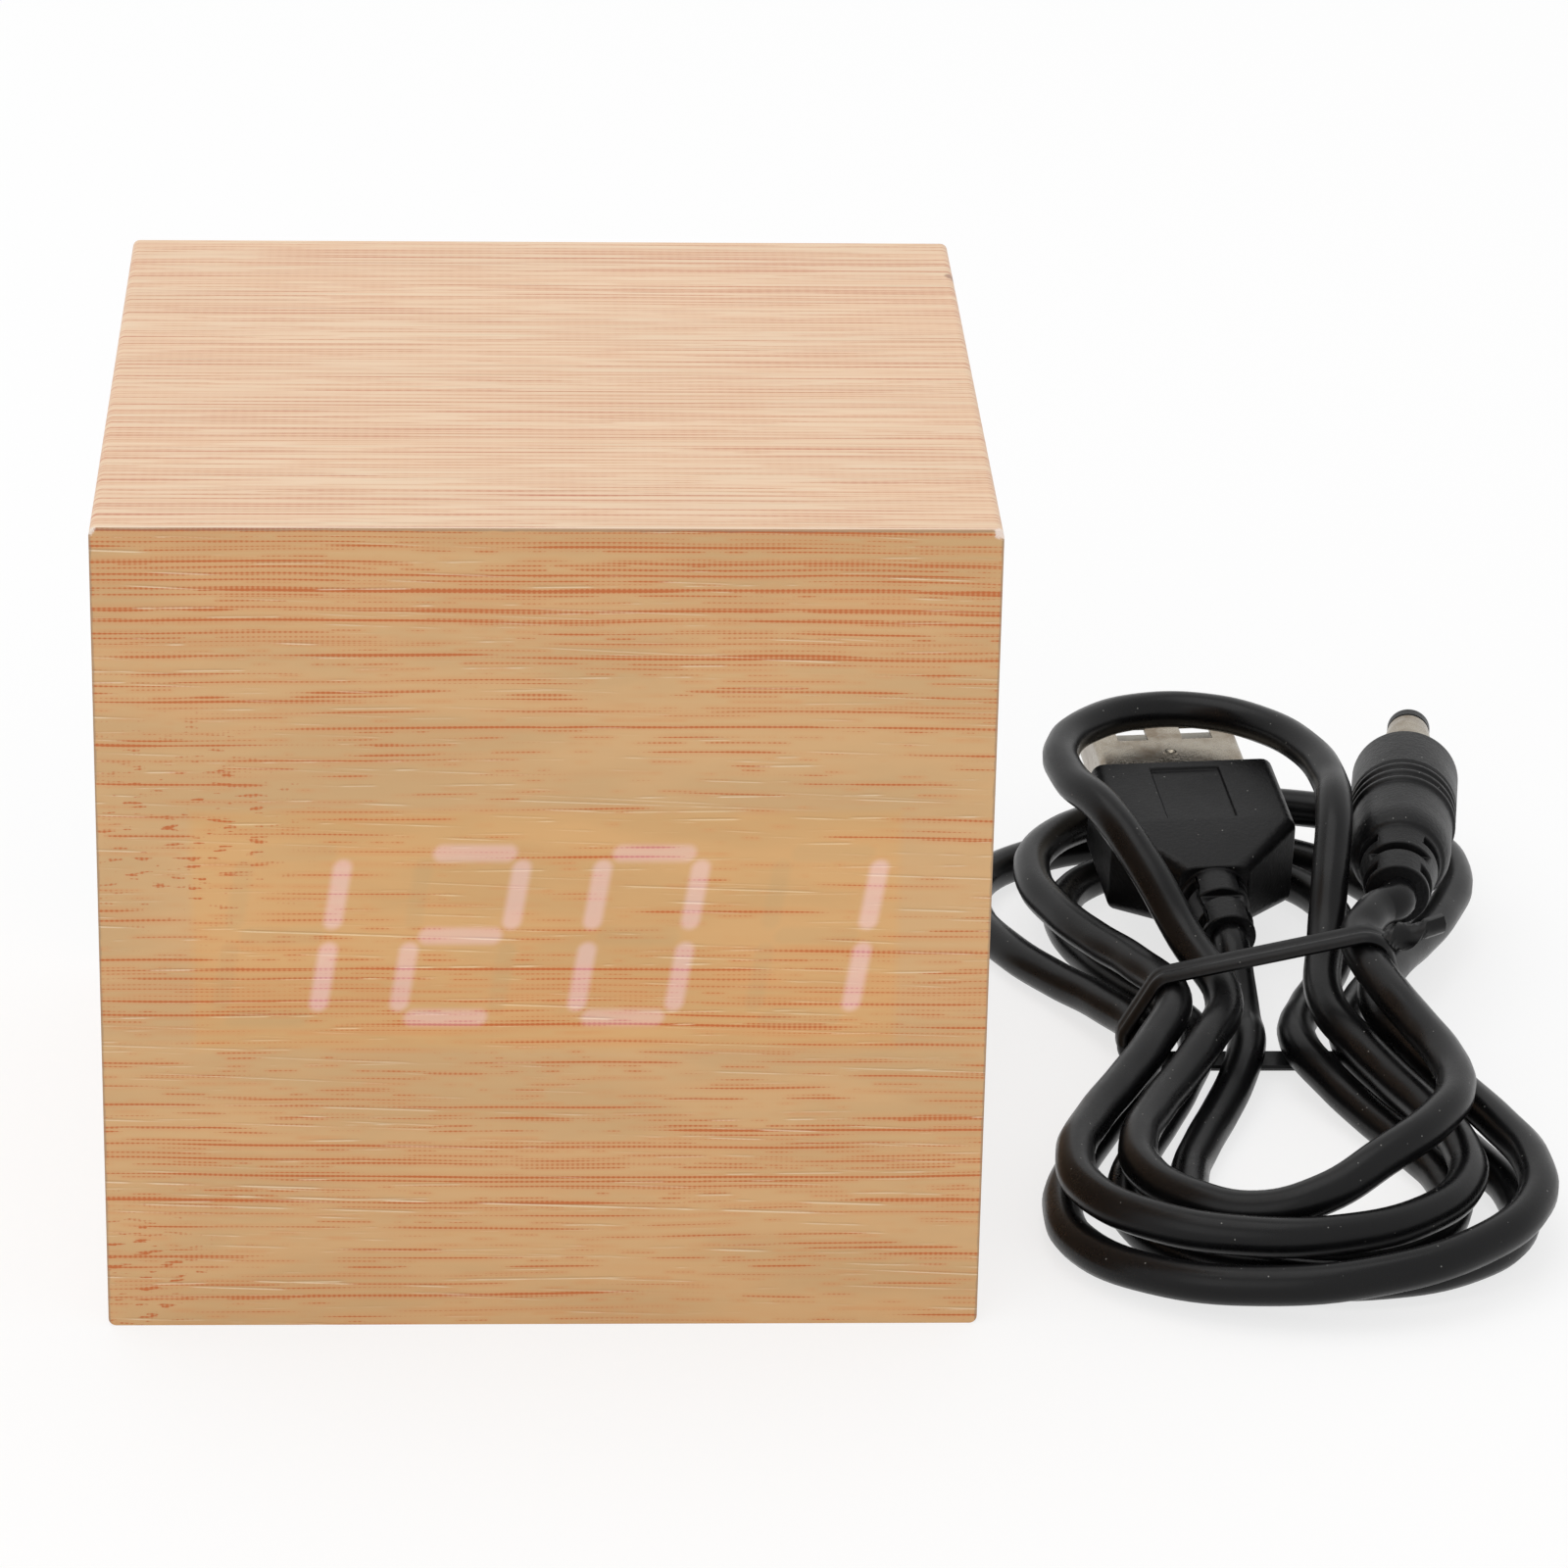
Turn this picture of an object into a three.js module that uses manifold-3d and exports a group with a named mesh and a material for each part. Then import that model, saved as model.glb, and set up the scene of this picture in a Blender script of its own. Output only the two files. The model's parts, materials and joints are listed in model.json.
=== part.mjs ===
// Digital desk clock: a wood-look cube with a seven-segment time display behind its front film,
// and its charging lead, tied in a hank beside it.
// Millimetres, +Z up. The origin is the middle of the clock's base, and the display faces -Y.
import * as THREE from 'three';
import { mergeVertices } from 'three/addons/utils/BufferGeometryUtils.js';
import Module from 'manifold-3d';

const wasm = await Module();
wasm.setup();

// Driving dimensions
const clock = { width: 62, height: 61, depth: 60, edgeRadius: 0.9, rimBevel: 0.4 };
const board = { wall: 4, front: 3.5, fit: 0.15 };
const film = { thickness: 0.25, edge: 0.15 };
const display = { lift: 0.5, digits: 4, digitHeight: 14.3, slant: 9.5 };
const cover = { thickness: 2, recess: 1, fit: 0.2, cornerRadius: 0.6 };
const cord = { diameter: 3, faceGap: 0.3 };
const seatGap = 0.05; // between a part and the board or face that carries it
const cutOver = 0.5; // how far a cutting tool runs past the face that it opens

const finishes = {
  woodFilm: { color: 0xd0a67c, roughness: 0.62, metalness: 0 },
  blackPlastic: { color: 0x1b1b1c, roughness: 0.55, metalness: 0 },
  greyPlastic: { color: 0x8c8f92, roughness: 0.5, metalness: 0 },
  resin: { color: 0xe6e2da, roughness: 0.35, metalness: 0 },
  circuitBoard: { color: 0x1f6b3a, roughness: 0.45, metalness: 0 },
  fibreboard: { color: 0x9c7650, roughness: 0.85, metalness: 0 },
  pine: { color: 0xc9a777, roughness: 0.8, metalness: 0 },
  steel: { color: 0xa9abad, roughness: 0.35, metalness: 1 },
  nickel: { color: 0xb9b4aa, roughness: 0.25, metalness: 1 },
  cellSleeve: { color: 0x2f6f4a, roughness: 0.35, metalness: 0.2 },
  redWire: { color: 0xa32020, roughness: 0.45, metalness: 0 },
  greyWire: { color: 0x77797b, roughness: 0.5, metalness: 0 },
};

// Solids

function toSolid(geometry) {
  const bare = geometry.clone();
  for (const name of Object.keys(bare.attributes)) if (name !== 'position') bare.deleteAttribute(name);
  const merged = mergeVertices(bare);
  const places = merged.attributes.position;
  const corners = [];
  let volume = 0;
  const a = new THREE.Vector3();
  const b = new THREE.Vector3();
  const c = new THREE.Vector3();
  for (let i = 0; i < merged.index.count; i += 3) {
    const [p, q, r] = [merged.index.getX(i), merged.index.getX(i + 1), merged.index.getX(i + 2)];
    if (p === q || q === r || r === p) continue;
    corners.push([p, q, r]);
    a.fromBufferAttribute(places, p);
    b.fromBufferAttribute(places, q);
    c.fromBufferAttribute(places, r);
    volume += a.dot(b.cross(c));
  }
  const facing = volume < 0 ? corners.map(([p, q, r]) => [p, r, q]) : corners;
  return new wasm.Manifold(new wasm.Mesh({
    numProp: 3,
    vertProperties: new Float32Array(places.array),
    triVerts: new Uint32Array(facing.flat()),
  }));
}

function toGeometry(solid) {
  const mesh = solid.getMesh();
  const geometry = new THREE.BufferGeometry();
  geometry.setAttribute('position', new THREE.BufferAttribute(mesh.vertProperties, 3));
  geometry.setIndex(new THREE.BufferAttribute(mesh.triVerts, 1));
  geometry.computeVertexNormals();
  return geometry;
}

function join(...geometries) {
  return toGeometry(geometries.map(toSolid).reduce((whole, next) => whole.add(next)));
}

function cut(base, ...tools) {
  return toGeometry(tools.map(toSolid).reduce((left, tool) => left.subtract(tool), toSolid(base)));
}

// A box between two corners
function block([x0, y0, z0], [x1, y1, z1]) {
  const box = new THREE.BoxGeometry(x1 - x0, y1 - y0, z1 - z0);
  return box.translate((x0 + x1) / 2, (y0 + y1) / 2, (z0 + z1) / 2);
}

// A round bar along Y, from y0 to y1
function rod(radius, y0, y1, x = 0, z = 0, sides = 16) {
  return new THREE.CylinderGeometry(radius, radius, y1 - y0, sides).translate(x, (y0 + y1) / 2, z);
}

// A revolved profile of [radius, y] points, about Y
function turned(points, sides = 20) {
  return new THREE.LatheGeometry(points.map(([r, y]) => new THREE.Vector2(r, y)), sides);
}

function roundedOutline(width, height, radius) {
  const [x, y] = [width / 2, height / 2];
  const outline = new THREE.Shape();
  outline.absarc(x - radius, y - radius, radius, 0, Math.PI / 2);
  outline.absarc(radius - x, y - radius, radius, Math.PI / 2, Math.PI);
  outline.absarc(radius - x, radius - y, radius, Math.PI, Math.PI * 1.5);
  outline.absarc(x - radius, radius - y, radius, Math.PI * 1.5, Math.PI * 2);
  outline.closePath();
  return outline;
}

// An outline in X and Z, extruded along Y from y0 to y1
function slab(outline, y0, y1, curveSegments = 4) {
  const flat = new THREE.ExtrudeGeometry(outline, { depth: y1 - y0, bevelEnabled: false, curveSegments });
  return flat.rotateX(Math.PI / 2).translate(0, y1, 0);
}

// The same with a bevel round its y0 end, or round its y1 end
function bevelledSlab(outline, y0, y1, bevel, end) {
  const options = { bevelThickness: bevel, bevelSize: bevel, bevelOffset: -bevel, bevelSegments: 2 };
  const depth = 2 * (y1 - y0);
  const long = new THREE.ExtrudeGeometry(outline, { ...options, depth: depth - 2 * bevel, curveSegments: 4 });
  long.rotateX(Math.PI / 2).translate(0, end === 'y0' ? y0 + depth - bevel : y1 - bevel, 0);
  const reach = clock.width + clock.height;
  const [from, to] = end === 'y0' ? [y1, y0 + depth + cutOver] : [y1 - depth - cutOver, y0];
  return cut(long, block([-reach, from, -reach], [reach, to, reach]));
}

function part(name, geometry, finish, parent, position = [0, 0, 0], rotation = [0, 0, 0]) {
  const material = new THREE.MeshStandardMaterial(finishes[finish]);
  const mesh = new THREE.Mesh(toGeometry(toSolid(geometry)), material);
  mesh.name = name;
  mesh.position.set(...position);
  mesh.rotation.set(...rotation);
  parent.add(mesh);
  return mesh;
}

function group(parent, position, rotation = [0, 0, 0]) {
  const holder = new THREE.Group();
  holder.position.set(...position);
  holder.rotation.set(...rotation, 'ZXY');
  parent.add(holder);
  return holder;
}

// Where the case's faces lie
const faceY = -clock.depth / 2 + film.thickness;
const opening = { width: clock.width - 2 * board.wall, height: clock.height - 2 * board.wall };
const frontBoardBackY = faceY + board.front;
const coverY = clock.depth / 2 - cover.recess;
const plate = { width: opening.width - 2 * cover.fit, height: opening.height - 2 * cover.fit };

// Display module: its size, and what stands behind it
const displayZ = clock.height / 2 + display.lift;
const moduleRoom = { beside: 1.85, ends: 0.35, border: 2.35, window: 0.35, film: 0.2 };
const moduleBox = {
  width: opening.width - 2 * moduleRoom.beside, height: display.digitHeight + 2 * moduleRoom.border,
  depth: 8, backRecess: 2.2, skirt: 0.7,
};
const digitWidthShare = 0.6935;
const digitPitch = (moduleBox.width - 2 * moduleRoom.ends) / display.digits;
const segment = { width: 1.9, mitreGap: 0.28, fit: 0.1, colonRadius: 0.85, colonHeight: 3.6 };
const modulePin = { radius: 0.26, length: 3.4, count: 6, rowInset: 1.9, fit: 0.15 };
const pinPitchShare = 0.6145;
const boardRoom = { beside: 1.5, forScrews: 7.5 };
const mainBoard = {
  width: opening.width - 2 * boardRoom.beside, height: moduleBox.height + 2 * boardRoom.forScrews,
  thickness: 1.6, cornerRadius: 1, holeInset: 3.4, holeRadius: 1.2,
};
const spacer = { width: 5, endRoom: 0.9, hole: 1.25, endGap: 0.1 };
const boardFrontY = faceY + moduleRoom.film + moduleBox.depth + seatGap;
const boardBackY = boardFrontY + mainBoard.thickness;
const cornerHoles = [-1, 1].flatMap((sx) => [-1, 1].map((sz) => [
  sx * (mainBoard.width / 2 - mainBoard.holeInset),
  sz * (mainBoard.height / 2 - mainBoard.holeInset),
]));

const boardScrew = { headRadius: 1.9, headHeight: 1.3, shankRadius: 0.9, pilotFit: 0.15, bite: 2.4 };
const coverScrew = {
  headRadius: 1.8, headHeight: 1, shankRadius: 0.9, length: 9.5, headFit: 0.25, pilotFit: 0.15,
};
const screwShoulderShare = 0.62;
const crossRecess = { width: 0.55, length: 1.9, depth: 0.6 };

// A pan-head screw: head from y = 0 up, shank down to -length, cross recess in the head
function screw(size, length) {
  const { headRadius: head, headHeight: top, shankRadius: shank } = size;
  const body = turned([
    [0, -length], [shank * screwShoulderShare, -length], [shank, -length + shank], [shank, 0],
    [head, 0], [head, top * screwShoulderShare], [head * screwShoulderShare, top], [0, top],
  ], 14);
  const arm = crossRecess.length / 2;
  const half = crossRecess.width / 2;
  const floor = top - crossRecess.depth;
  return cut(body,
    block([-arm, floor, -half], [arm, top + cutOver, half]),
    block([-half, floor, -arm], [half, top + cutOver, arm]));
}

// Case: a board folded into a tube and faced with film, closed by a front board and the front film

function caseShell(root) {
  const outer = bevelledSlab(roundedOutline(clock.width, clock.height, clock.edgeRadius),
    faceY, clock.depth / 2, clock.rimBevel, 'y1');
  const bore = block([-opening.width / 2, faceY - cutOver, -opening.height / 2],
    [opening.width / 2, clock.depth / 2 + cutOver, opening.height / 2]);
  part('case_shell', cut(outer, bore), 'woodFilm', root, [0, 0, clock.height / 2]);
}

function frontBoard(root) {
  const [x, z] = [opening.width / 2 - board.fit, opening.height / 2 - board.fit];
  const lift = display.lift;
  const [wx, wz] = [moduleBox.width / 2 + moduleRoom.window, moduleBox.height / 2 + moduleRoom.window];
  const window = block([-wx, faceY - cutOver, lift - wz], [wx, frontBoardBackY + cutOver, lift + wz]);
  const pilot = boardScrew.shankRadius + boardScrew.pilotFit;
  const pilots = cornerHoles.map(([hx, hz]) => rod(pilot, frontBoardBackY - boardScrew.bite - cutOver,
    frontBoardBackY + cutOver, hx, hz + lift, 10));
  const plain = block([-x, faceY, -z], [x, frontBoardBackY, z]);
  part('front_board', cut(plain, window, ...pilots), 'fibreboard', root, [0, 0, clock.height / 2]);
}

function frontFilm(root) {
  const sheet = bevelledSlab(roundedOutline(clock.width, clock.height, clock.edgeRadius),
    -clock.depth / 2, faceY, film.edge, 'y0');
  part('front_film', sheet, 'woodFilm', root, [0, 0, clock.height / 2]);
}

// Display: a slanted seven-segment module, soldered to the main board behind the window

const slantShare = Math.tan(THREE.MathUtils.degToRad(display.slant));

// The seven bars of one digit as outlines round the digit's middle, grown by a margin
function digitBars(margin) {
  const wide = digitPitch * digitWidthShare - segment.width;
  const tall = (display.digitHeight - segment.width) / 2;
  const half = segment.width / 2 + margin;
  const bars = [
    [0, tall, true], [0, 0, true], [0, -tall, true],
    [wide / 2, tall / 2, false], [-wide / 2, tall / 2, false],
    [wide / 2, -tall / 2, false], [-wide / 2, -tall / 2, false],
  ];
  return bars.map(([cx, cz, level]) => {
    const tip = (level ? wide : tall) / 2 - segment.mitreGap + margin * Math.SQRT2;
    const run = tip - half;
    const ends = [[run, half], [tip, 0], [run, -half], [-run, -half], [-tip, 0], [-run, half]];
    const corners = ends.map(([along, aside]) => (
      level ? [cx + along, cz - aside] : [cx + aside, cz + along]));
    return new THREE.Shape(corners.map(([x, z]) => new THREE.Vector2(x + z * slantShare, z)));
  });
}

const digitPlaces = Array.from({ length: display.digits }, (_, i) => (
  (i - (display.digits - 1) / 2) * digitPitch));

function colonDots(margin) {
  return [-1, 1].map((side) => {
    const dot = new THREE.Shape();
    const z = side * segment.colonHeight;
    return dot.absarc(z * slantShare, z, segment.colonRadius + margin, 0, Math.PI * 2);
  });
}

function barSolids(margin, y0, y1) {
  const bars = digitPlaces.flatMap((x) => digitBars(margin).map((bar) => (
    slab(bar, y0, y1).translate(x, 0, 0))));
  return bars.concat(colonDots(margin).map((dot) => slab(dot, y0, y1, 2)));
}

const pinPlaces = [-1, 1].flatMap((row) => Array.from({ length: modulePin.count }, (_, i) => [
  (i - (modulePin.count - 1) / 2) * digitPitch * pinPitchShare,
  row * (moduleBox.height / 2 - modulePin.rowInset),
]));

function displayModule(root) {
  const front = faceY + moduleRoom.film;
  const back = front + moduleBox.depth;
  const floor = back - moduleBox.backRecess;
  const holder = group(root, [0, 0, displayZ]);
  const [x, z] = [moduleBox.width / 2, moduleBox.height / 2];
  const inset = moduleBox.skirt;
  const recess = block([inset - x, floor, inset - z], [x - inset, back + cutOver, z - inset]);
  const cavities = barSolids(segment.fit, front - cutOver, floor + cutOver);
  const housing = block([-x, front, -z], [x, back, z]);
  part('display_housing', cut(housing, recess, ...cavities), 'greyPlastic', holder);

  const slack = inset + segment.fit;
  const plate = block([slack - x, floor + segment.fit, slack - z], [x - slack, back, z - slack]);
  const bars = barSolids(0, front + segment.fit, floor + moduleBox.backRecess / 2);
  const pins = pinPlaces.map(([px, pz]) => rod(modulePin.radius, back - moduleBox.backRecess / 2,
    back + modulePin.length, px, pz, 6));
  part('display_segments', join(plate, ...bars, ...pins), 'resin', holder);
}

function mainBoardParts(root) {
  const holder = group(root, [0, 0, displayZ]);
  const outline = roundedOutline(mainBoard.width, mainBoard.height, mainBoard.cornerRadius);
  const [y0, y1] = [boardFrontY - cutOver, boardBackY + cutOver];
  const holes = cornerHoles.map(([x, z]) => rod(mainBoard.holeRadius, y0, y1, x, z, 12));
  const pinHoles = pinPlaces.map(([x, z]) => rod(modulePin.radius + modulePin.fit, y0, y1, x, z, 6));
  const board = slab(outline, boardFrontY, boardBackY, 2);
  part('main_board', cut(board, ...holes, ...pinHoles), 'circuitBoard', holder);

  const [barFront, barBack] = [frontBoardBackY + spacer.endGap, boardFrontY - spacer.endGap];
  ['lower', 'upper'].forEach((name, i) => {
    const end = mainBoard.width / 2 - spacer.endRoom;
    const bar = block([-end, barFront, -spacer.width / 2], [end, barBack, spacer.width / 2]);
    const places = cornerHoles.filter(([, z]) => Math.sign(z) === 2 * i - 1);
    const passages = places.map(([x]) => rod(spacer.hole, barFront - cutOver, barBack + cutOver, x, 0, 12));
    part(`spacer_bar_${name}`, cut(bar, ...passages), 'greyPlastic', holder, [0, 0, places[0][1]]);
  });
  const names = ['lower_left', 'upper_left', 'lower_right', 'upper_right'];
  const length = boardBackY - frontBoardBackY + boardScrew.bite;
  cornerHoles.forEach(([x, z], i) => {
    part(`board_screw_${names[i]}`, screw(boardScrew, length), 'steel', holder, [x, boardBackY + seatGap, z]);
  });
}

// A chip with bent legs along both long sides, lying on a board face at y = 0 and rising to +Y
const chipLeg = { width: 0.42, thickness: 0.22, pitch: 1.27, foot: 0.9, knee: 0.5 };
function chip({ length, width, height, legs }) {
  const lift = chipLeg.thickness;
  const [x, z] = [length / 2, width / 2];
  const body = block([-x, lift / 2, -z], [x, height, z]);
  const middle = (height + lift) / 2;
  const { thickness: t, knee, foot } = chipLeg;
  const profile = [[-t, middle - t], [-t, middle], [knee, middle], [knee + t, t], [knee + foot, t],
    [knee + foot, 0], [knee, 0], [knee - t, middle - t]];
  const outline = new THREE.Shape(profile.map(([out, up]) => new THREE.Vector2(out, up)));
  const pieces = [body];
  for (let i = 0; i < legs; i += 1) {
    const along = (i - (legs - 1) / 2) * chipLeg.pitch - chipLeg.width / 2;
    for (const side of [-1, 1]) {
      const leg = new THREE.ExtrudeGeometry(outline, { depth: chipLeg.width, bevelEnabled: false });
      leg.rotateY(side > 0 ? -Math.PI / 2 : Math.PI / 2);
      pieces.push(leg.translate(side > 0 ? along + chipLeg.width : along, 0, side * z));
    }
  }
  return join(...pieces);
}

const controller = { length: 12.8, width: 7.5, height: 2.3, legs: 10, acrossShare: -0.216, z: 0 };
const driver = { length: 9.9, width: 3.9, height: 1.6, legs: 8, acrossShare: 0, bottomGap: 4.5 };
const buzzer = { radius: 6, height: 8.5, soundHole: 1, cavity: 4.6, wall: 1.1, acrossShare: 0.343, z: 0 };
const plugBlock = {
  length: 9.4, width: 5.2, height: 6, keyWidth: 1.2, keyDepth: 0.9, wireWidth: 6.4, wireHeight: 1.1,
};
const frontPlug = { x: 2, topGap: 5 };
const frontPlugZ = mainBoard.height / 2 - frontPlug.topGap;

function mainBoardComponents(root) {
  const holder = group(root, [0, boardBackY + seatGap, displayZ]);
  part('controller_chip', chip(controller), 'blackPlastic', holder,
    [controller.acrossShare * mainBoard.width, 0, controller.z]);
  part('driver_chip', chip(driver), 'blackPlastic', holder,
    [driver.acrossShare * mainBoard.width, 0, driver.bottomGap - mainBoard.height / 2]);

  const { radius, height, soundHole, cavity, wall } = buzzer;
  const drum = turned([[0, 0], [radius, 0], [radius, height], [soundHole, height], [soundHole, height - wall],
    [cavity, height - wall], [cavity, wall], [0, wall]], 24);
  part('buzzer', drum, 'blackPlastic', holder, [buzzer.acrossShare * mainBoard.width, 0, buzzer.z]);

  part('ribbon_plug', plugHousing(), 'resin', holder, [frontPlug.x, 0, frontPlugZ]);
}

// A small wire-to-board plug, standing on a board face at y = 0, with two key ribs and a wire slot
function plugHousing() {
  const [x, z] = [plugBlock.length / 2, plugBlock.width / 2];
  const { keyWidth, keyDepth, height, wireWidth, wireHeight } = plugBlock;
  const body = block([-x, 0, -z], [x, height, z]);
  const keys = [-1, 1].map((side) => block(
    [side * x / 2 - keyWidth / 2, 0, z - seatGap], [side * x / 2 + keyWidth / 2, height / 2, z + keyDepth]));
  const slot = block([-wireWidth / 2, height - wireHeight, -wireHeight],
    [wireWidth / 2, height + cutOver, wireHeight]);
  return cut(join(body, ...keys), slot);
}

// Back cover: plate, battery tray and door seat, places for the buttons, the power socket and the screws
const door = { thickness: 1.45, edgeGap: 0.2, seat: 0.15, cornerRadius: 1.2, overlap: 0.8, lowerStrip: 6 };
const trayRoom = { beside: 1.3, above: 10.6, alongCell: 3.5, acrossCells: 0.5 };
const trayWall = 1.5;
const bay = {
  length: plate.width - 2 * (trayRoom.beside + trayWall),
  height: plate.height - door.lowerStrip - door.edgeGap - door.overlap - trayWall - trayRoom.above,
  wall: trayWall, floor: 1.2, cellGap: 0.45, underGap: 0.2, ribWidth: 0.7, ribHeight: 2.2,
};
// Three cells fill the tray, with room between them and outside them
const cellCount = 3;
const cellDiameter = (bay.height - (cellCount + 1) * trayRoom.acrossCells) / cellCount;
const cell = {
  diameter: cellDiameter, length: bay.length - trayRoom.alongCell, pitch: cellDiameter + trayRoom.acrossCells,
};
const doorSize = { width: bay.length + 2 * door.overlap, height: bay.height + 2 * door.overlap };
const ledgeY = -door.thickness - door.seat;
const cellY = ledgeY - bay.cellGap - cell.diameter / 2;
const bayFloorY = cellY - cell.diameter / 2 - bay.underGap;
const doorLow = -plate.height / 2 + door.lowerStrip + door.edgeGap;
const bayZ = doorLow + doorSize.height / 2;
const trayTop = bayZ + bay.height / 2 + bay.wall;

const fixing = {
  depth: 12, topWidth: 6.4, topHeight: 8.8, battenHeight: 5, topInset: [3.1, 4.9], bottomInset: [4.4, 2.5],
};
const buttonBoardRoom = { ends: 0.9, edges: 0.5 };
const buttonBoard = {
  width: opening.width - 2 * (fixing.topWidth + buttonBoardRoom.ends),
  height: trayRoom.above - 2 * buttonBoardRoom.edges, thickness: 1.6, cornerRadius: 0.5,
};
const buttonRow = {
  z: (trayTop + plate.height / 2) / 2, endInset: 6.8, pitch: 6.5, names: ['set', 'up', 'down'],
};
const buttonPlaces = buttonRow.names.map((_, i) => (
  buttonBoard.width / 2 - buttonRow.endInset - i * buttonRow.pitch));
const button = {
  radius: 2.1, holeFit: 0.22, standProud: 0.8, flangeRadius: 2.9, flange: 0.8, flangeGap: 0.1, dish: 0.25,
};
const pusher = { radius: 1, length: 1.7, gap: 0.1, fit: 0.15, depth: 1.6 };
const tactSwitch = { side: 4.5, height: 3, travel: 0.5, clearance: 0.3 };
const flangeY = -cover.thickness - button.flangeGap - button.flange;
const switchTopY = flangeY - tactSwitch.travel - tactSwitch.clearance;
const buttonBoardFrontY = switchTopY - tactSwitch.height - seatGap;
const buttonBoardBackY = buttonBoardFrontY - buttonBoard.thickness;
const bossInset = 1.9;
const boss = { x: buttonBoard.width / 2 - bossInset, radius: 1.6, pilot: 0.95 };
const buttonScrew = { headRadius: 1.55, headHeight: 1, shankRadius: 0.75, length: 6 };
const jackEndInset = 7.5;
const jack = {
  x: jackEndInset - buttonBoard.width / 2,
  bore: 1.9, boreDepth: 10.6, collar: 2.7, collarFit: 0.2, side: 6.6, depth: 11.6, boardFit: 0.2,
  pinRadius: 0.6, pinFit: 0.06, pinInset: 1.2, pinTail: 1, lip: 0.3,
};
const sensorFromJack = 6.4;
const soundSensor = {
  x: jack.x + sensorFromJack, radius: 2, hole: 0.6, gap: 0.4, innerRadius: 1.2, innerDepth: 0.8,
};
const latch = {
  width: 9, slit: 0.8, length: 6.5, notchRadius: 3.6, notchDepth: 1.1, gripRibs: 4, gripRib: 0.5, gripRise: 0.3,
};
const lug = { x: 15, width: 6, fit: 0.3, thickness: 0.6, reach: 0.9, root: 0.9, depthGap: 0.2 };

function coverScrewPlaces() {
  const [[tx, tz], [bx, bz]] = [fixing.topInset, fixing.bottomInset].map(([x, z]) => [
    plate.width / 2 - x, plate.height / 2 - z]);
  return { upper_left: [-tx, tz], upper_right: [tx, tz], lower_left: [-bx, -bz], lower_right: [bx, -bz] };
}

function backCover(holder) {
  const [halfLength, halfHeight] = [bay.length / 2, bay.height / 2];
  const base = slab(roundedOutline(plate.width, plate.height, cover.cornerRadius), -cover.thickness, 0);
  const tray = block([-halfLength - bay.wall, bayFloorY - bay.floor, bayZ - halfHeight - bay.wall],
    [halfLength + bay.wall, -cover.thickness + seatGap, trayTop]);
  const bosses = [-1, 1].map((side) => rod(boss.radius,
    buttonBoardFrontY + seatGap, -cover.thickness + seatGap, side * boss.x, buttonRow.z, 14));
  const bayVoid = block([-halfLength, bayFloorY, bayZ - halfHeight],
    [halfLength, cutOver, bayZ + halfHeight]);
  const seat = slab(roundedOutline(doorSize.width + 2 * door.edgeGap, doorSize.height + 2 * door.edgeGap,
    door.cornerRadius), ledgeY, cutOver).translate(0, 0, bayZ);
  const thumb = rod(latch.notchRadius, -latch.notchDepth, cutOver,
    0, bayZ + doorSize.height / 2 - latch.slit, 24);
  const through = (radius, x, sides) => rod(radius, -cover.thickness - cutOver, cutOver, x, buttonRow.z, sides);
  const buttonHoles = buttonPlaces.map((x) => through(button.radius + button.holeFit, x, 20));
  const jackHole = through(jack.collar + jack.collarFit, jack.x, 20);
  const soundHole = through(soundSensor.hole, soundSensor.x, 10);
  const bossPilots = [-1, 1].map((side) => rod(boss.pilot, buttonBoardFrontY - cutOver, -cover.thickness,
    side * boss.x, buttonRow.z, 10));
  const screwHoles = Object.values(coverScrewPlaces()).flatMap(([x, z]) => [
    rod(coverScrew.shankRadius + coverScrew.headFit, -cover.thickness - cutOver, cutOver, x, z, 12),
    rod(coverScrew.headRadius + coverScrew.headFit, -coverScrew.headHeight - seatGap, cutOver, x, z, 16),
  ]);
  const tabSlots = [[1, cell.pitch], [-1, -cell.pitch]].map(([side, dz]) => block(
    [side * halfLength - (side > 0 ? contact.slotDepth : -seatGap), bayFloorY - bay.floor - cutOver,
      bayZ + dz - contact.tabWidth / 2 - contact.fit],
    [side * halfLength + (side > 0 ? -seatGap : contact.slotDepth), bayFloorY + cutOver,
      bayZ + dz + contact.tabWidth / 2 + contact.fit]));
  const lugSlots = [-1, 1].flatMap((side) => {
    const [x0, x1] = [side * lug.x - lug.width / 2 - lug.fit, side * lug.x + lug.width / 2 + lug.fit];
    const floor = -cover.thickness - lug.depthGap - lug.thickness - lug.reach;
    return [
      block([x0, floor, doorLow - door.edgeGap], [x1, ledgeY + cutOver, bayZ - halfHeight + cutOver]),
      block([x0, floor, doorLow - lug.reach - lug.fit], [x1, -cover.thickness, doorLow]),
    ];
  });
  const ribs = [-1, 1].map((side) => block(
    [-halfLength / 2, bayFloorY - seatGap, bayZ + side * cell.pitch / 2 - bay.ribWidth / 2],
    [halfLength / 2, bayFloorY + bay.ribHeight, bayZ + side * cell.pitch / 2 + bay.ribWidth / 2]));
  const hollow = cut(join(base, tray, ...bosses), bayVoid, seat, thumb, jackHole, soundHole,
    ...buttonHoles, ...bossPilots, ...screwHoles, ...tabSlots, ...lugSlots);
  part('back_cover', join(hollow, ...ribs), 'blackPlastic', holder);
}

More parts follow.
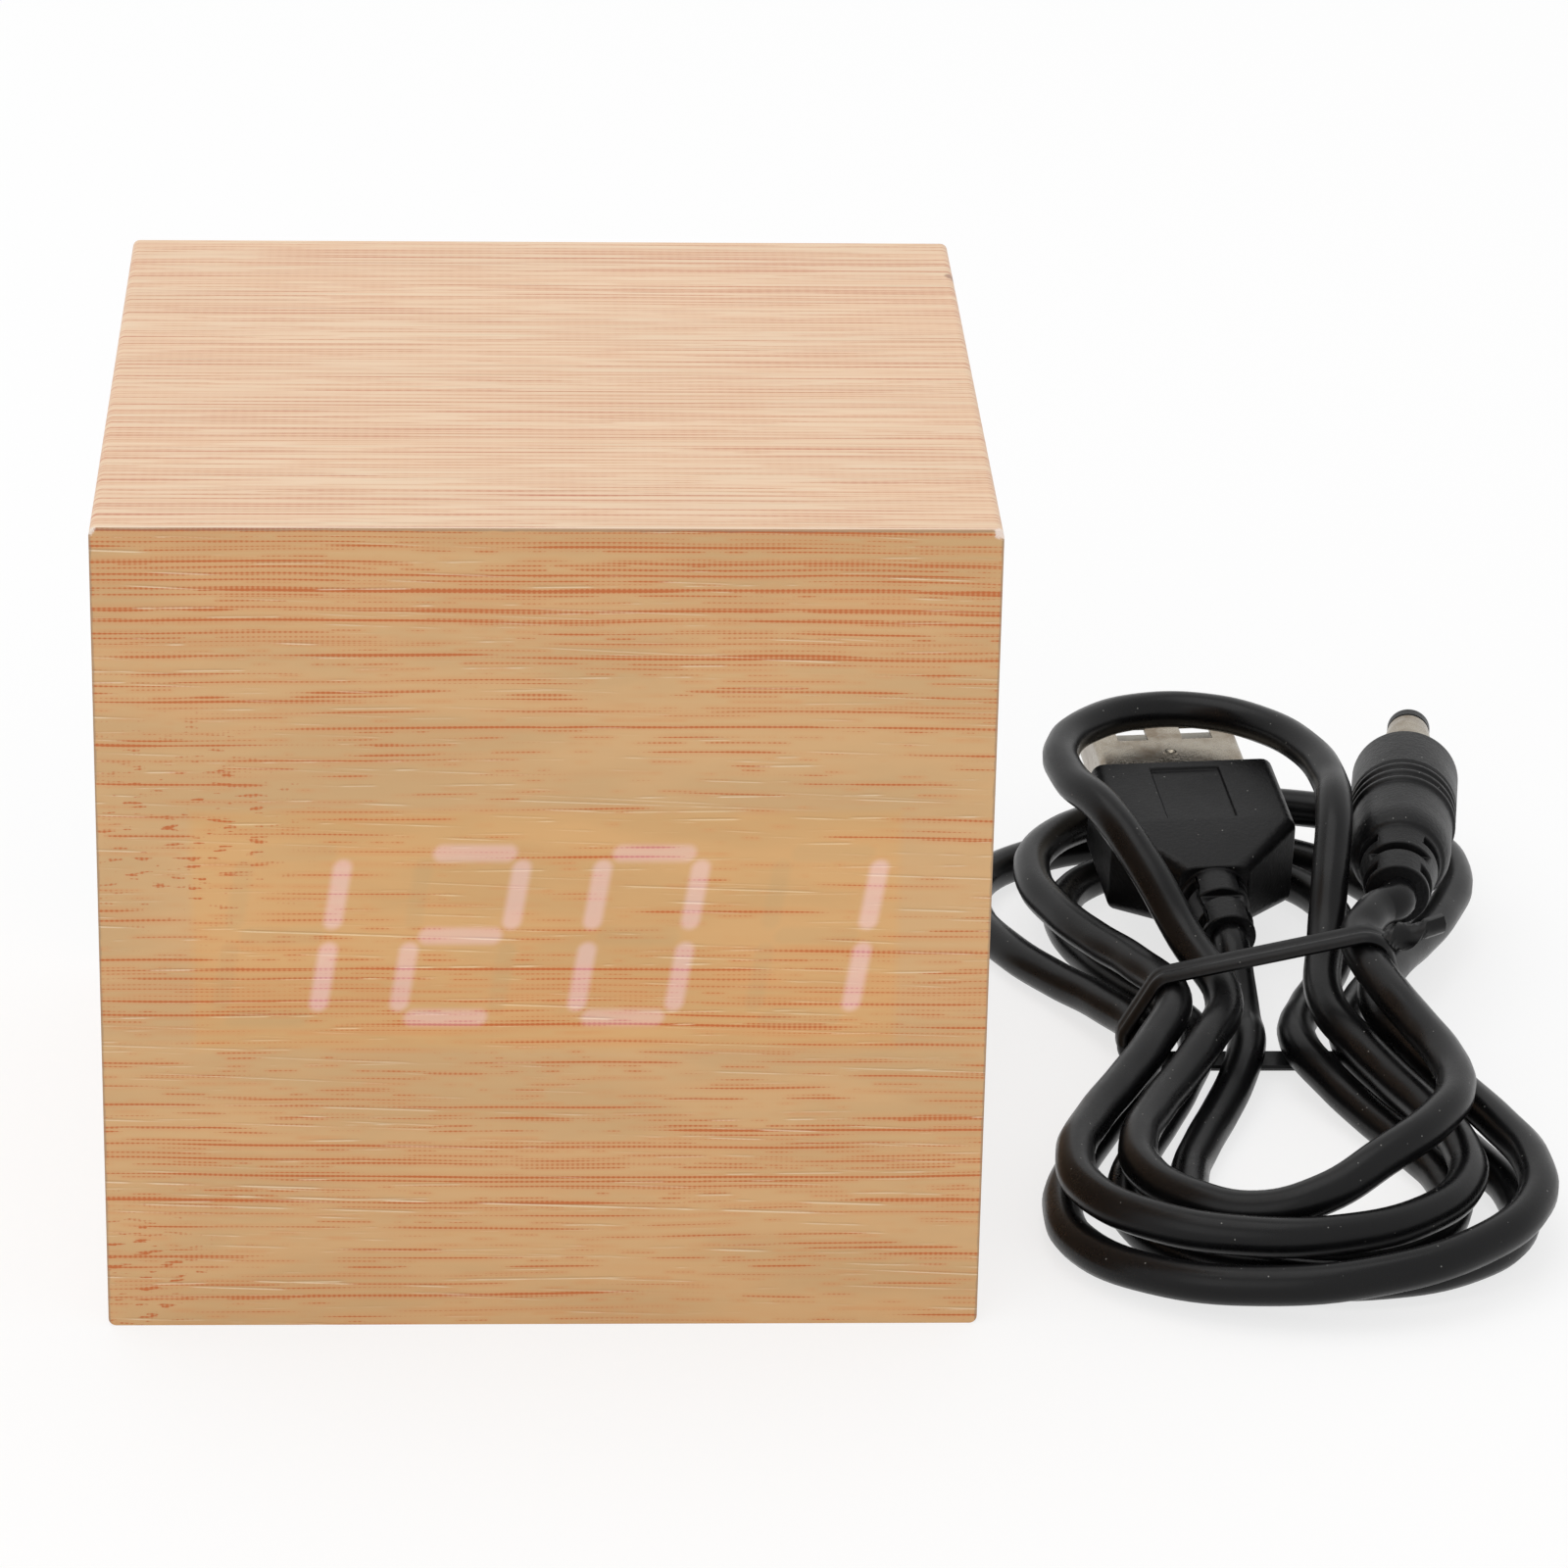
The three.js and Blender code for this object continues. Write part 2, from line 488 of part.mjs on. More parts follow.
function coverFixings(holder) {
  const pilot = coverScrew.shankRadius + coverScrew.pilotFit;
  const places = coverScrewPlaces();
  const [halfWidth, halfHeight] = [opening.width / 2 - seatGap, opening.height / 2 - seatGap];
  const back = -cover.thickness - seatGap;
  const tipY = -coverScrew.headHeight - coverScrew.length - cutOver;
  const pilotHole = ([x, z]) => rod(pilot, tipY, back + cutOver, x, z, 10);
  const timber = (x0, x1, z0, z1, ...screws) => cut(block([x0, back - fixing.depth, z0], [x1, back, z1]),
    ...screws.map(pilotHole));
  const { topWidth, topHeight } = fixing;
  part('fixing_block_left', timber(-halfWidth, topWidth - halfWidth, halfHeight - topHeight, halfHeight,
    places.upper_left), 'pine', holder);
  part('fixing_block_right', timber(halfWidth - topWidth, halfWidth, halfHeight - topHeight, halfHeight,
    places.upper_right), 'pine', holder);
  part('fixing_batten', timber(-halfWidth, halfWidth, -halfHeight, fixing.battenHeight - halfHeight,
    places.lower_left, places.lower_right), 'pine', holder);
  for (const [name, [x, z]] of Object.entries(places)) {
    part(`cover_screw_${name}`, screw(coverScrew, coverScrew.length), 'steel', holder,
      [x, -coverScrew.headHeight, z]);
  }
}

// Battery door: drops in over the tray, hooks in at its lower edge and snaps at its upper edge
function batteryDoor(holder) {
  const outline = roundedOutline(doorSize.width, doorSize.height, door.cornerRadius - door.edgeGap);
  const top = doorSize.height / 2;
  const panel = slab(outline, -door.thickness, 0);
  const slits = [-1, 1].map((side) => block(
    [side * latch.width / 2 - latch.slit / 2, -door.thickness - cutOver, top - latch.length],
    [side * latch.width / 2 + latch.slit / 2, cutOver, top + cutOver]));
  const grooves = Array.from({ length: latch.gripRibs }, (_, i) => block(
    [-latch.width / 2 + 2 * latch.slit, -latch.gripRise, top - latch.length + (2 * i + 1) * latch.gripRib],
    [latch.width / 2 - 2 * latch.slit, cutOver, top - latch.length + (2 * i + 2) * latch.gripRib]));
  const low = -doorSize.height / 2;
  const footTop = -cover.thickness - lug.depthGap;
  const lugs = [-1, 1].flatMap((side) => {
    const [x0, x1] = [side * lug.x - lug.width / 2, side * lug.x + lug.width / 2];
    const [footLow, stemTop] = [footTop - lug.thickness, low + lug.fit + lug.root];
    return [
      block([x0, footLow, low + lug.fit], [x1, -door.thickness + seatGap, stemTop]),
      block([x0, footLow, low - lug.reach], [x1, footTop, stemTop]),
    ];
  });
  part('battery_door', join(cut(panel, ...slits, ...grooves), ...lugs), 'blackPlastic', holder, [0, 0, bayZ]);
}

// Cells and their contacts: three in series, alternate ways round
const contact = {
  plate: 0.4, edgeRoom: 0.95, tabWidth: 2.2, tabLength: 2.8, slotDepth: 0.9, fit: 0.15, nubGap: 0.25,
  wallGap: 0.1, dimple: 1.6, dimpleRise: 0.5,
};
const spring = { wire: 0.25, wireSides: 5, inset: 0.7, turns: 2, stepsPerTurn: 8, gap: 0.2 };
const springTipShare = 0.444;
const contactWidth = cell.diameter - 2 * contact.edgeRoom;
const cellNub = { radius: 1.9, height: 0.9, shoulder: 0.5, foot: 0.3, footInset: 2.05 };
const contactFace = bay.length / 2 - contact.wallGap - contact.plate;
const nubX = contactFace - contact.dimpleRise - contact.nubGap;

function cellBody() {
  const r = cell.diameter / 2;
  const { radius, height, shoulder, foot } = cellNub;
  const footRadius = r - cellNub.footInset;
  const canTop = cell.length - height;
  return turned([[0, 0], [footRadius, 0], [footRadius, foot], [r - shoulder, foot], [r, foot + shoulder],
    [r, canTop - shoulder], [r - shoulder, canTop], [radius, canTop],
    [radius, cell.length - shoulder / 2], [radius - shoulder / 2, cell.length], [0, cell.length]], 24);
}

function cells(holder) {
  [1, -1, 1].forEach((way, i) => {
    const z = bayZ + (1 - i) * cell.pitch;
    part(`cell_${i + 1}`, cellBody(), 'cellSleeve', holder, [way * (nubX - cell.length), cellY, z],
      [0, 0, -way * Math.PI / 2]);
  });
}

// The round section of a wire
function wireSection(radius, sides) {
  return new THREE.Shape(Array.from({ length: sides }, (_, i) => new THREE.Vector2(
    radius * Math.cos(i * 2 * Math.PI / sides), radius * Math.sin(i * 2 * Math.PI / sides))));
}

// A conical spring from the plate towards the cell, along X
function contactSpring(length) {
  const steps = spring.turns * spring.stepsPerTurn;
  const points = Array.from({ length: steps + 1 }, (_, i) => {
    const share = i / steps;
    const radius = (contactWidth / 2 - spring.inset) * (1 + (springTipShare - 1) * share);
    const angle = share * spring.turns * 2 * Math.PI;
    return new THREE.Vector3(length * share, radius * Math.cos(angle), radius * Math.sin(angle));
  });
  return new THREE.ExtrudeGeometry(wireSection(spring.wire, spring.wireSides), {
    steps, extrudePath: new THREE.CatmullRomCurve3(points), bevelEnabled: false,
  });
}

// Contact plate on the wall at x = side, in local X pointing into the tray
function contacts(holder) {
  const springLength = contactFace - (cell.length - nubX) - spring.gap - spring.wire * 3 / 2;
  const { plate: t, dimple, dimpleRise, tabWidth, tabLength } = contact;
  const half = contactWidth / 2;
  const sheet = (low, high) => block([-t, -half, low], [0, half, high]);
  const bump = (z) => new THREE.CylinderGeometry(dimple / 2, dimple, dimpleRise, 12)
    .rotateZ(-Math.PI / 2).translate(dimpleRise / 2 - seatGap, 0, z);
  const coil = (z) => contactSpring(springLength).translate(spring.wire / 2, 0, z);
  const tabEnd = bayFloorY - cellY - bay.floor - tabLength;
  const tab = (z) => block([-t, tabEnd, z - tabWidth / 2], [0, 0, z + tabWidth / 2]);
  const low = bayZ - cell.pitch;
  const high = bayZ + cell.pitch;
  const right = [contactFace, cellY, 0];
  const left = [-contactFace, cellY, 0];
  const facing = (...pieces) => join(...pieces).scale(-1, 1, 1);
  const strips = {
    contact_positive: [facing(sheet(high - half, high + half), bump(high), tab(high)), right],
    contact_link_right: [facing(sheet(low - half, bayZ + half), bump(low), coil(bayZ)), right],
    contact_link_left: [join(sheet(bayZ - half, high + half), bump(bayZ), coil(high)), left],
    contact_negative: [join(sheet(low - half, low + half), coil(low), tab(low)), left],
  };
  for (const [name, [shape, place]] of Object.entries(strips)) part(name, shape, 'nickel', holder, place);
}

// Buttons with their switches, the power socket and the sound sensor, on the button board
function buttons(holder) {
  const { radius, standProud, flangeRadius, flange, flangeGap, dish } = button;
  const inner = -cover.thickness - flangeGap;
  const rim = standProud - dish;
  const cap = turned([[0, inner - flange], [flangeRadius, inner - flange], [flangeRadius, inner],
    [radius, inner], [radius, rim], [radius - dish, standProud], [radius / 2, standProud - dish / 2], [0, rim]]);
  const half = tactSwitch.side / 2;
  buttonRow.names.forEach((name, i) => {
    const place = [buttonPlaces[i], 0, buttonRow.z];
    part(`button_${name}`, cap, 'blackPlastic', holder, place);
    const top = inner - flange - pusher.gap;
    part(`switch_plunger_${name}`, rod(pusher.radius, top - pusher.length, top), 'greyPlastic', holder, place);
    const body = block([-half, switchTopY - tactSwitch.height, -half], [half, switchTopY, half]);
    const well = rod(pusher.radius + pusher.fit, switchTopY - pusher.depth, switchTopY + cutOver, 0, 0, 20);
    part(`switch_body_${name}`, cut(body, well), 'blackPlastic', holder, place);
  });
}

function buttonBoardParts(holder) {
  const outline = roundedOutline(buttonBoard.width, buttonBoard.height, buttonBoard.cornerRadius);
  const half = jack.side / 2 + jack.boardFit;
  const [y0, y1] = [buttonBoardBackY - cutOver, buttonBoardFrontY + cutOver];
  const notch = block([jack.x - half, y0, -half], [jack.x + half, y1, half]);
  const holes = [-1, 1].map((side) => rod(boss.pilot, y0, y1, side * boss.x, 0, 10));
  const board = slab(outline, buttonBoardBackY, buttonBoardFrontY);
  part('button_board', cut(board, notch, ...holes), 'circuitBoard', holder, [0, 0, buttonRow.z]);
  ['left', 'right'].forEach((name, i) => {
    part(`button_board_screw_${name}`, screw(buttonScrew, buttonScrew.length), 'steel', holder,
      [(2 * i - 1) * boss.x, buttonBoardBackY - seatGap, buttonRow.z], [Math.PI, 0, 0]);
  });

  const { bore, boreDepth, collar, side, depth, lip, pinRadius, pinFit, pinInset, pinTail } = jack;
  const shoulder = -cover.thickness - jack.collarFit;
  const body = join(
    block([-side / 2, -depth, -side / 2], [side / 2, shoulder, side / 2]),
    rod(collar, shoulder - seatGap, 0, 0, 0, 20));
  const mouth = turned([[0, -boreDepth], [bore, -boreDepth], [bore, -lip], [bore + lip, 0],
    [bore + lip, cutOver], [0, cutOver]]);
  const pinHole = rod(pinRadius + pinFit, -depth - cutOver, -boreDepth + cutOver, 0, 0, 12);
  part('power_socket', cut(body, mouth, pinHole), 'blackPlastic', holder, [jack.x, 0, buttonRow.z]);
  const pin = turned([[0, -depth - pinTail], [pinRadius, -depth - pinTail],
    [pinRadius, -pinInset - pinRadius], [0, -pinInset]], 12);
  part('power_socket_pin', pin, 'nickel', holder, [jack.x, 0, buttonRow.z]);

  const { radius, innerRadius, innerDepth, gap } = soundSensor;
  const [low, high] = [buttonBoardFrontY + seatGap, -cover.thickness - gap];
  const capsule = turned([[0, low], [radius, low], [radius, high], [innerRadius, high],
    [innerRadius, high - innerDepth], [0, high - innerDepth]], 16);
  part('sound_sensor', capsule, 'blackPlastic', holder, [soundSensor.x, 0, buttonRow.z]);
}

// Inner wiring
const hookupWire = { radius: 0.6, sides: 8, steps: 20, endGap: 0.3, slack: 3 };
const ribbon = {
  width: 6, thickness: 0.9, steps: 16, endGap: 0.3, straight: 4, rearX: 3.5, trayGap: 3, sag: 2,
};

// A flexible run: a section drawn along an even curve through points
function drawnAlong(section, points, steps) {
  const path = new THREE.CatmullRomCurve3(points.map((p) => new THREE.Vector3(...p)), false, 'catmullrom');
  return new THREE.ExtrudeGeometry(section, { steps, extrudePath: path, bevelEnabled: false });
}

function wire(points) {
  return drawnAlong(wireSection(hookupWire.radius, hookupWire.sides), points, hookupWire.steps);
}

function innerWiring(root, holder) {
  const rearY = coverY + buttonBoardBackY;
  const rearZ = clock.height / 2 + buttonRow.z;
  const frontY = boardBackY + seatGap + plugBlock.height;
  const frontZ = displayZ + frontPlugZ;
  const section = new THREE.Shape([[-1, -1], [1, -1], [1, 1], [-1, 1]].map(([a, b]) => new THREE.Vector2(
    a * ribbon.thickness / 2, b * ribbon.width / 2)));
  const midX = (frontPlug.x + ribbon.rearX) / 2;
  const flex = drawnAlong(section, [
    [frontPlug.x, frontY + ribbon.endGap, frontZ],
    [frontPlug.x, frontY + ribbon.endGap + ribbon.straight, frontZ],
    [midX, coverY + bayFloorY - bay.floor - ribbon.trayGap, rearZ - ribbon.sag],
    [ribbon.rearX, rearY - ribbon.endGap - ribbon.straight, rearZ],
    [ribbon.rearX, rearY - ribbon.endGap, rearZ],
  ], ribbon.steps);
  part('ribbon_cable', flex, 'greyWire', root);

  const tabY = bayFloorY - bay.floor - contact.tabLength - hookupWire.endGap;
  const solderY = buttonBoardBackY - hookupWire.endGap;
  const tabX = contactFace + contact.plate / 2;
  const { slack } = hookupWire;
  part('wire_positive', wire([
    [tabX, tabY, bayZ + cell.pitch],
    [tabX, tabY - hookupWire.radius, bayZ + cell.pitch],
    [tabX - slack / 2, tabY - slack / 2, bayZ + cell.pitch + slack],
    [boss.x, tabY - slack / 3, buttonRow.z - slack],
    [boss.x - slack, solderY - slack, buttonRow.z - slack / 3],
    [boss.x - slack, solderY, buttonRow.z - slack / 3],
  ]), 'redWire', holder);
  part('wire_negative', wire([
    [-tabX, tabY, bayZ - cell.pitch],
    [-tabX, tabY - hookupWire.radius, bayZ - cell.pitch],
    [-tabX + slack / 2, tabY - slack / 2, bayZ - cell.pitch + slack],
    [-tabX + slack, tabY - slack / 2, bayZ],
    [jack.x - slack, tabY - slack / 2, trayTop - slack],
    [soundSensor.x, solderY - 2 * slack, buttonRow.z - slack],
    [soundSensor.x, solderY, buttonRow.z - slack / 2],
  ]), 'blackPlastic', holder);
}

// Charging lead: a round cord with a barrel plug and a flat plug, laid in a tied hank

const lead = { x: 55.7, y: 10.3 };
const hank = {
  turns: 4.5, stepsPerTurn: 24, sides: 6, floorGap: 0.05, roundness: 0.54,
  waistStep: 3.94, layerStep: 3.53, tieLift: 1.34,
  foldReach: 33.2, foldReachStep: 3.75, foldHalfWidth: 9.39, foldStep: 4.24, foldLean: 1.46,
  petalReach: [36.22, 40.4, 40.09, 38.05], petalHalfWidth: [10.2, 15.4, 15.46, 9.52],
  petalShift: [-2.4, -3.8, 1.59, -3.64], petalLift: [0, 0, 0, 9.44], exitShift: 6.66, exitLift: 0.42,
};
// Shares of a turn where the loops climb a layer and where the last run crosses over,
// and shares of a loop's reach that are drawn in at the waist or lifted over the flat plug
const hankShares = {
  climb: [2.06, 2.44], exitRise: [4.2, 4.4], exitSlide: [4.31, 4.5], waist: 0.04,
  foldRate: 1.02, petalRate: 1.08, swell: 1.4, lift: [0.04, 0.49], tieRate: 2.2, waistPacking: 0.8,
};

const ease = (t) => THREE.MathUtils.smoothstep(t, 0, 1);
const easeBetween = (u, [from, to]) => THREE.MathUtils.smoothstep(u, from, to);

// A point of the hank after u turns. A turn runs from the waist round the fold in front,
// back through the waist, and round one of the petals behind.
function hankPoint(u) {
  const phase = 2 * Math.PI * u;
  const reach = Math.abs(Math.sin(phase)) ** hank.roundness;
  const outward = Math.min(u, hank.turns - u) - 1 / 4;
  const climb = easeBetween(u, hankShares.climb);
  let half = hank.foldHalfWidth + hank.foldStep * outward;
  let shift = hank.foldLean * (1 - 2 * climb);
  let y = -(hank.foldReach + hank.foldReachStep * outward) * reach;
  let lift = 0;
  let rate = hankShares.foldRate;
  if (Math.sin(phase) < 0) {
    const petal = Math.min(Math.floor(u), hank.petalReach.length - 1);
    half = hank.petalHalfWidth[petal];
    shift = hank.petalShift[petal];
    y = hank.petalReach[petal] * reach;
    lift = hank.petalLift[petal] * easeBetween(reach, hankShares.lift);
    rate = hankShares.petalRate;
  }
  const open = rate * Math.max(0, reach - hankShares.waist) / (1 - hankShares.waist);
  const spread = (ease(open) + Math.sin(Math.min(1, open) * Math.PI / 2)) / 2;
  const waist = hank.waistStep * (outward + 1 / 2);
  const across = waist * (1 - spread) + half * hankShares.swell * spread;
  const exit = easeBetween(u, hankShares.exitRise);
  return new THREE.Vector3(
    -Math.cos(phase) * across + shift * spread + hank.exitShift * easeBetween(u, hankShares.exitSlide),
    y,
    cord.diameter / 2 + hank.floorGap + hank.layerStep * (climb + exit) + hank.exitLift * exit
      + hank.tieLift * (1 - ease(reach * hankShares.tieRate)) + lift,
  );
}

// Turns at a step, with the steps packed closer at the waist, where a turn runs fastest
function turnsAt(step) {
  const halfTurns = 2 * step / hank.stepsPerTurn;
  return (halfTurns - hankShares.waistPacking * Math.sin(2 * Math.PI * halfTurns) / (2 * Math.PI)) / 2;
}

// A closed tube through points, with square ends
function tube(points, radius, sides) {
  const corners = [];
  const faces = [];
  const tangents = points.map((_, i) => points[Math.min(i + 1, points.length - 1)].clone()
    .sub(points[Math.max(i - 1, 0)]).normalize());
  let side = new THREE.Vector3(0, 0, 1).cross(tangents[0]).normalize();
  points.forEach((point, i) => {
    side = side.addScaledVector(tangents[i], -side.dot(tangents[i])).normalize();
    const up = tangents[i].clone().cross(side);
    for (let k = 0; k < sides; k += 1) {
      const angle = (2 * k + 1) * Math.PI / sides;
      const corner = point.clone().addScaledVector(side, radius * Math.cos(angle));
      corners.push(corner.addScaledVector(up, radius * Math.sin(angle)));
    }
  });
  const last = (points.length - 1) * sides;
  for (let k = 0; k < sides; k += 1) {
    const next = (k + 1) % sides;
    for (let base = 0; base < last; base += sides) {
      faces.push(base + k, base + next, base + sides + next, base + k, base + sides + next, base + sides + k);
    }
    if (k > 1) faces.push(0, k, k - 1, last, last + k - 1, last + k);
  }
  const geometry = new THREE.BufferGeometry().setFromPoints(corners);
  geometry.setIndex(faces);
  return geometry;
}

// Least gap between two stretches of the cord that are more than a sixth of a turn apart
function leastGap(points, window) {
  let least = Infinity;
  const spans = points.slice(1).map((p, i) => new THREE.Line3(points[i], p));
  const here = new THREE.Vector3();
  const there = new THREE.Vector3();
  const samples = [0, 1 / 4, 1 / 2, 3 / 4, 1];
  spans.forEach((span, i) => {
    for (const other of spans.slice(i + window)) {
      for (const share of samples) {
        span.at(share, here);
        other.closestPointToPoint(here, true, there);
        least = Math.min(least, here.distanceTo(there) - cord.diameter);
      }
    }
  });
  return least;
}

function leadHank(holder) {
  const steps = Math.round(hank.turns * hank.stepsPerTurn);
  const run = Array.from({ length: steps + 1 }, (_, i) => hankPoint(turnsAt(i)));
  const straight = cord.diameter;
  const start = run[0].clone().add(new THREE.Vector3(0, straight, 0));
  const end = run[steps].clone().add(new THREE.Vector3(0, straight, 0));
  const points = [start, ...run, end];
  console.log(`hank: least gap to itself ${leastGap(points, hank.stepsPerTurn / 6).toFixed(2)} mm`);
  part('lead_hank', tube(points, cord.diameter / 2, hank.sides), 'blackPlastic', holder);
  return [start, end];
}

const tie = {
  width: 2.3, thickness: 0.9, gap: 0.35, sideGap: 0.8, groove: 0.25, tuckAngle: 0.3,
  tailLength: 5, tailWidth: 2.2, tailThickness: 1.6, tailTurn: [36, -20, 15],
};

// Tie: a flat band round the waist, with its twisted ends standing out at one side
function leadTie(holder) {
  const r = cord.diameter / 2;
  const waistLeft = hankPoint(2).x;
  const waistRight = hankPoint(hank.turns - 2).x;
  const low = hankPoint(1).z - r - tie.gap;
  const leftTop = hankPoint(3).z + r + tie.gap;
  const rightTop = hankPoint(hank.turns).z + r + tie.gap;
  const [x0, x1] = [waistLeft - r - tie.sideGap, waistRight + r + tie.sideGap];
  const band = (grow) => {
    const round = r + tie.gap + grow;
    const outline = new THREE.Shape();
    outline.absarc(x1 + grow - round, low - grow + round, round, -Math.PI / 2, 0);
    outline.absarc(x1 + grow - round, rightTop + grow - round, round, 0, Math.PI / 2);
    outline.lineTo(hankPoint(hank.turns).x - r, rightTop + grow);
    outline.absarc(x0 - grow + round, leftTop + grow - round, round, Math.PI / 2 + tie.tuckAngle, Math.PI);
    outline.absarc(x0 - grow + round, low - grow + round, round, Math.PI, 3 * Math.PI / 2);
    outline.closePath();
    return outline;
  };
  const half = tie.width / 2;
  const inside = slab(band(0), -half - cutOver, half + cutOver, 5);
  const ring = cut(slab(band(tie.thickness), -half, half, 5), inside);
  const mid = block([x0 - 2 * r, -tie.groove / 2, low - 2 * r],
    [x1 + 2 * r, tie.groove / 2, rightTop + 2 * r]);
  const shave = cut(mid, slab(band(tie.thickness - tie.groove), -half, half, 5));
  const tail = block([-cutOver, -tie.tailWidth / 2, -tie.tailThickness / 2],
    [tie.tailLength, tie.tailWidth / 2, tie.tailThickness / 2]);
  const [turnX, turnY, turnZ] = tie.tailTurn.map(THREE.MathUtils.degToRad);
  tail.rotateX(turnX).rotateY(turnY).rotateZ(turnZ);
  tail.translate(x1 + tie.thickness / 2, 0, (low + rightTop) / 2);
  part('lead_tie', join(cut(ring, shave), cut(tail, inside)), 'blackPlastic', holder);
}

// Barrel plug, along +Y from the cord's end
const barrelPlug = {
  place: [11.49, 9.58, 10.85], lean: -9.01, pitch: 0,
  reliefLength: 6.2, reliefRadius: [2.5, 3.3], shoulderLength: 2.6, bodyRadius: 4.3, bodyLength: 14.2,
  ringAt: 7.4, ringRise: 0.25, ringPitch: 1.3, rings: 3, edge: 0.5, slotDepth: 1.1, slotWidth: 0.9,
  metalRadius: 1.75, metalBore: 1.15, metalLength: 9.3, metalSeat: 3, tipLength: 1.2, tipBore: 0.68,
  fit: 0.12, swell: 0.09,
};

// A plug's own frame, at its end of the cord
function plugFrame(holder, { place, pitch, lean }) {
  return group(holder, place, [THREE.MathUtils.degToRad(pitch), 0, THREE.MathUtils.degToRad(lean)]);
}

function barrelPlugParts(holder) {
  const b = barrelPlug;
  const plug = plugFrame(holder, b);
  const [thin, thick] = b.reliefRadius;
  const bodyStart = b.reliefLength + b.shoulderLength;
  const bodyEnd = bodyStart + b.bodyLength;
  const ringProfile = Array.from({ length: b.rings }, (_, i) => {
    const y = b.reliefLength + b.ringAt + i * b.ringPitch;
    const base = b.bodyRadius - b.ringRise;
    return [[base, y - b.ringPitch / 3], [b.bodyRadius, y], [base, y + b.ringPitch / 3]];
  }).flat();
  const shell = turned([[0, 0], [thin, 0], [thick, b.reliefLength], [b.bodyRadius - b.ringRise, bodyStart],
    ...ringProfile, [b.bodyRadius, ringProfile.at(-1)[1] + b.edge], [b.bodyRadius, bodyEnd - b.edge],
    [b.bodyRadius - b.edge, bodyEnd], [0, bodyEnd]], 24);
  const socket = rod(b.metalRadius + b.fit, bodyEnd - b.metalSeat - b.fit, bodyEnd + cutOver, 0, 0, 20);
  const slots = reliefSlots(b.reliefLength, thick, b);
  part('barrel_plug_body', cut(shell, socket, ...slots), 'blackPlastic', plug);

  const [y0, y1] = [bodyEnd - b.metalSeat, bodyEnd + b.metalLength];
  const bulge = b.metalRadius + b.swell;
  const sleeve = turned([[b.metalBore, y0], [b.metalRadius, y0], [b.metalRadius, y1 - 2 * b.tipLength],
    [bulge, y1 - b.tipLength], [b.metalRadius, y1], [b.metalBore, y1], [b.metalBore, y0]], 20);
  part('barrel_plug_sleeve', sleeve, 'nickel', plug);
  const stub = b.metalBore - b.fit;
  const tip = turned([[b.tipBore, y1 - b.tipLength], [stub, y1 - b.tipLength], [stub, y1 + b.fit],
    [b.metalRadius, y1 + b.fit], [b.metalRadius, y1 + b.tipLength], [b.tipBore, y1 + b.tipLength],
    [b.tipBore, y1 - b.tipLength]], 20);
  part('barrel_plug_tip', tip, 'blackPlastic', plug);
}

// Slots of a moulded strain relief: pairs on opposite sides, each row turned a quarter from the last
const relief = { rows: 3, slotSpanShare: 0.8 };
function reliefSlots(length, radius, { slotDepth, slotWidth }) {
  const reach = radius + cutOver;
  const core = radius - slotDepth;
  const half = radius * relief.slotSpanShare;
  return Array.from({ length: relief.rows }, (_, row) => {
    const y = (row + 1 / 2) * length / relief.rows;
    return [-1, 1].map((side) => {
      const [x0, x1] = side > 0 ? [core, reach] : [-reach, -core];
      const slot = block([x0, -slotWidth / 2, -half], [x1, slotWidth / 2, half]);
      return (row % 2 ? slot.rotateY(Math.PI / 2) : slot).translate(0, y, 0);
    });
  }).flat();
}

// Flat plug, along +Y from the cord's end
const flatPlug = {
  place: [-1.38, 11.12, 6.28], lean: 5.49, pitch: 6.59,
  reliefLength: 6.4, reliefRadius: [2.2, 2.7], neckLength: 5, neckRoundShare: 0.9,
  width: 15, height: 8, bodyLength: 9.8, corner: 1, slotDepth: 0.9, slotWidth: 0.9, recess: [5.6, 8, 0.35],
  shellWidth: 12, shellHeight: 4.5, shellLength: 12, shellWall: 0.35, shellSeat: 2, windowSize: [2.5, 2.2],
  windowFrom: 3.2, windowApart: 5.4, tongueWidth: 10.9, tongueHeight: 1.9, tongueInset: 0.8, fit: 0.12,
  dimple: 0.7, contacts: 4, contactWidth: 1.1, contactRise: 0.12, contactLength: 7.5,
};

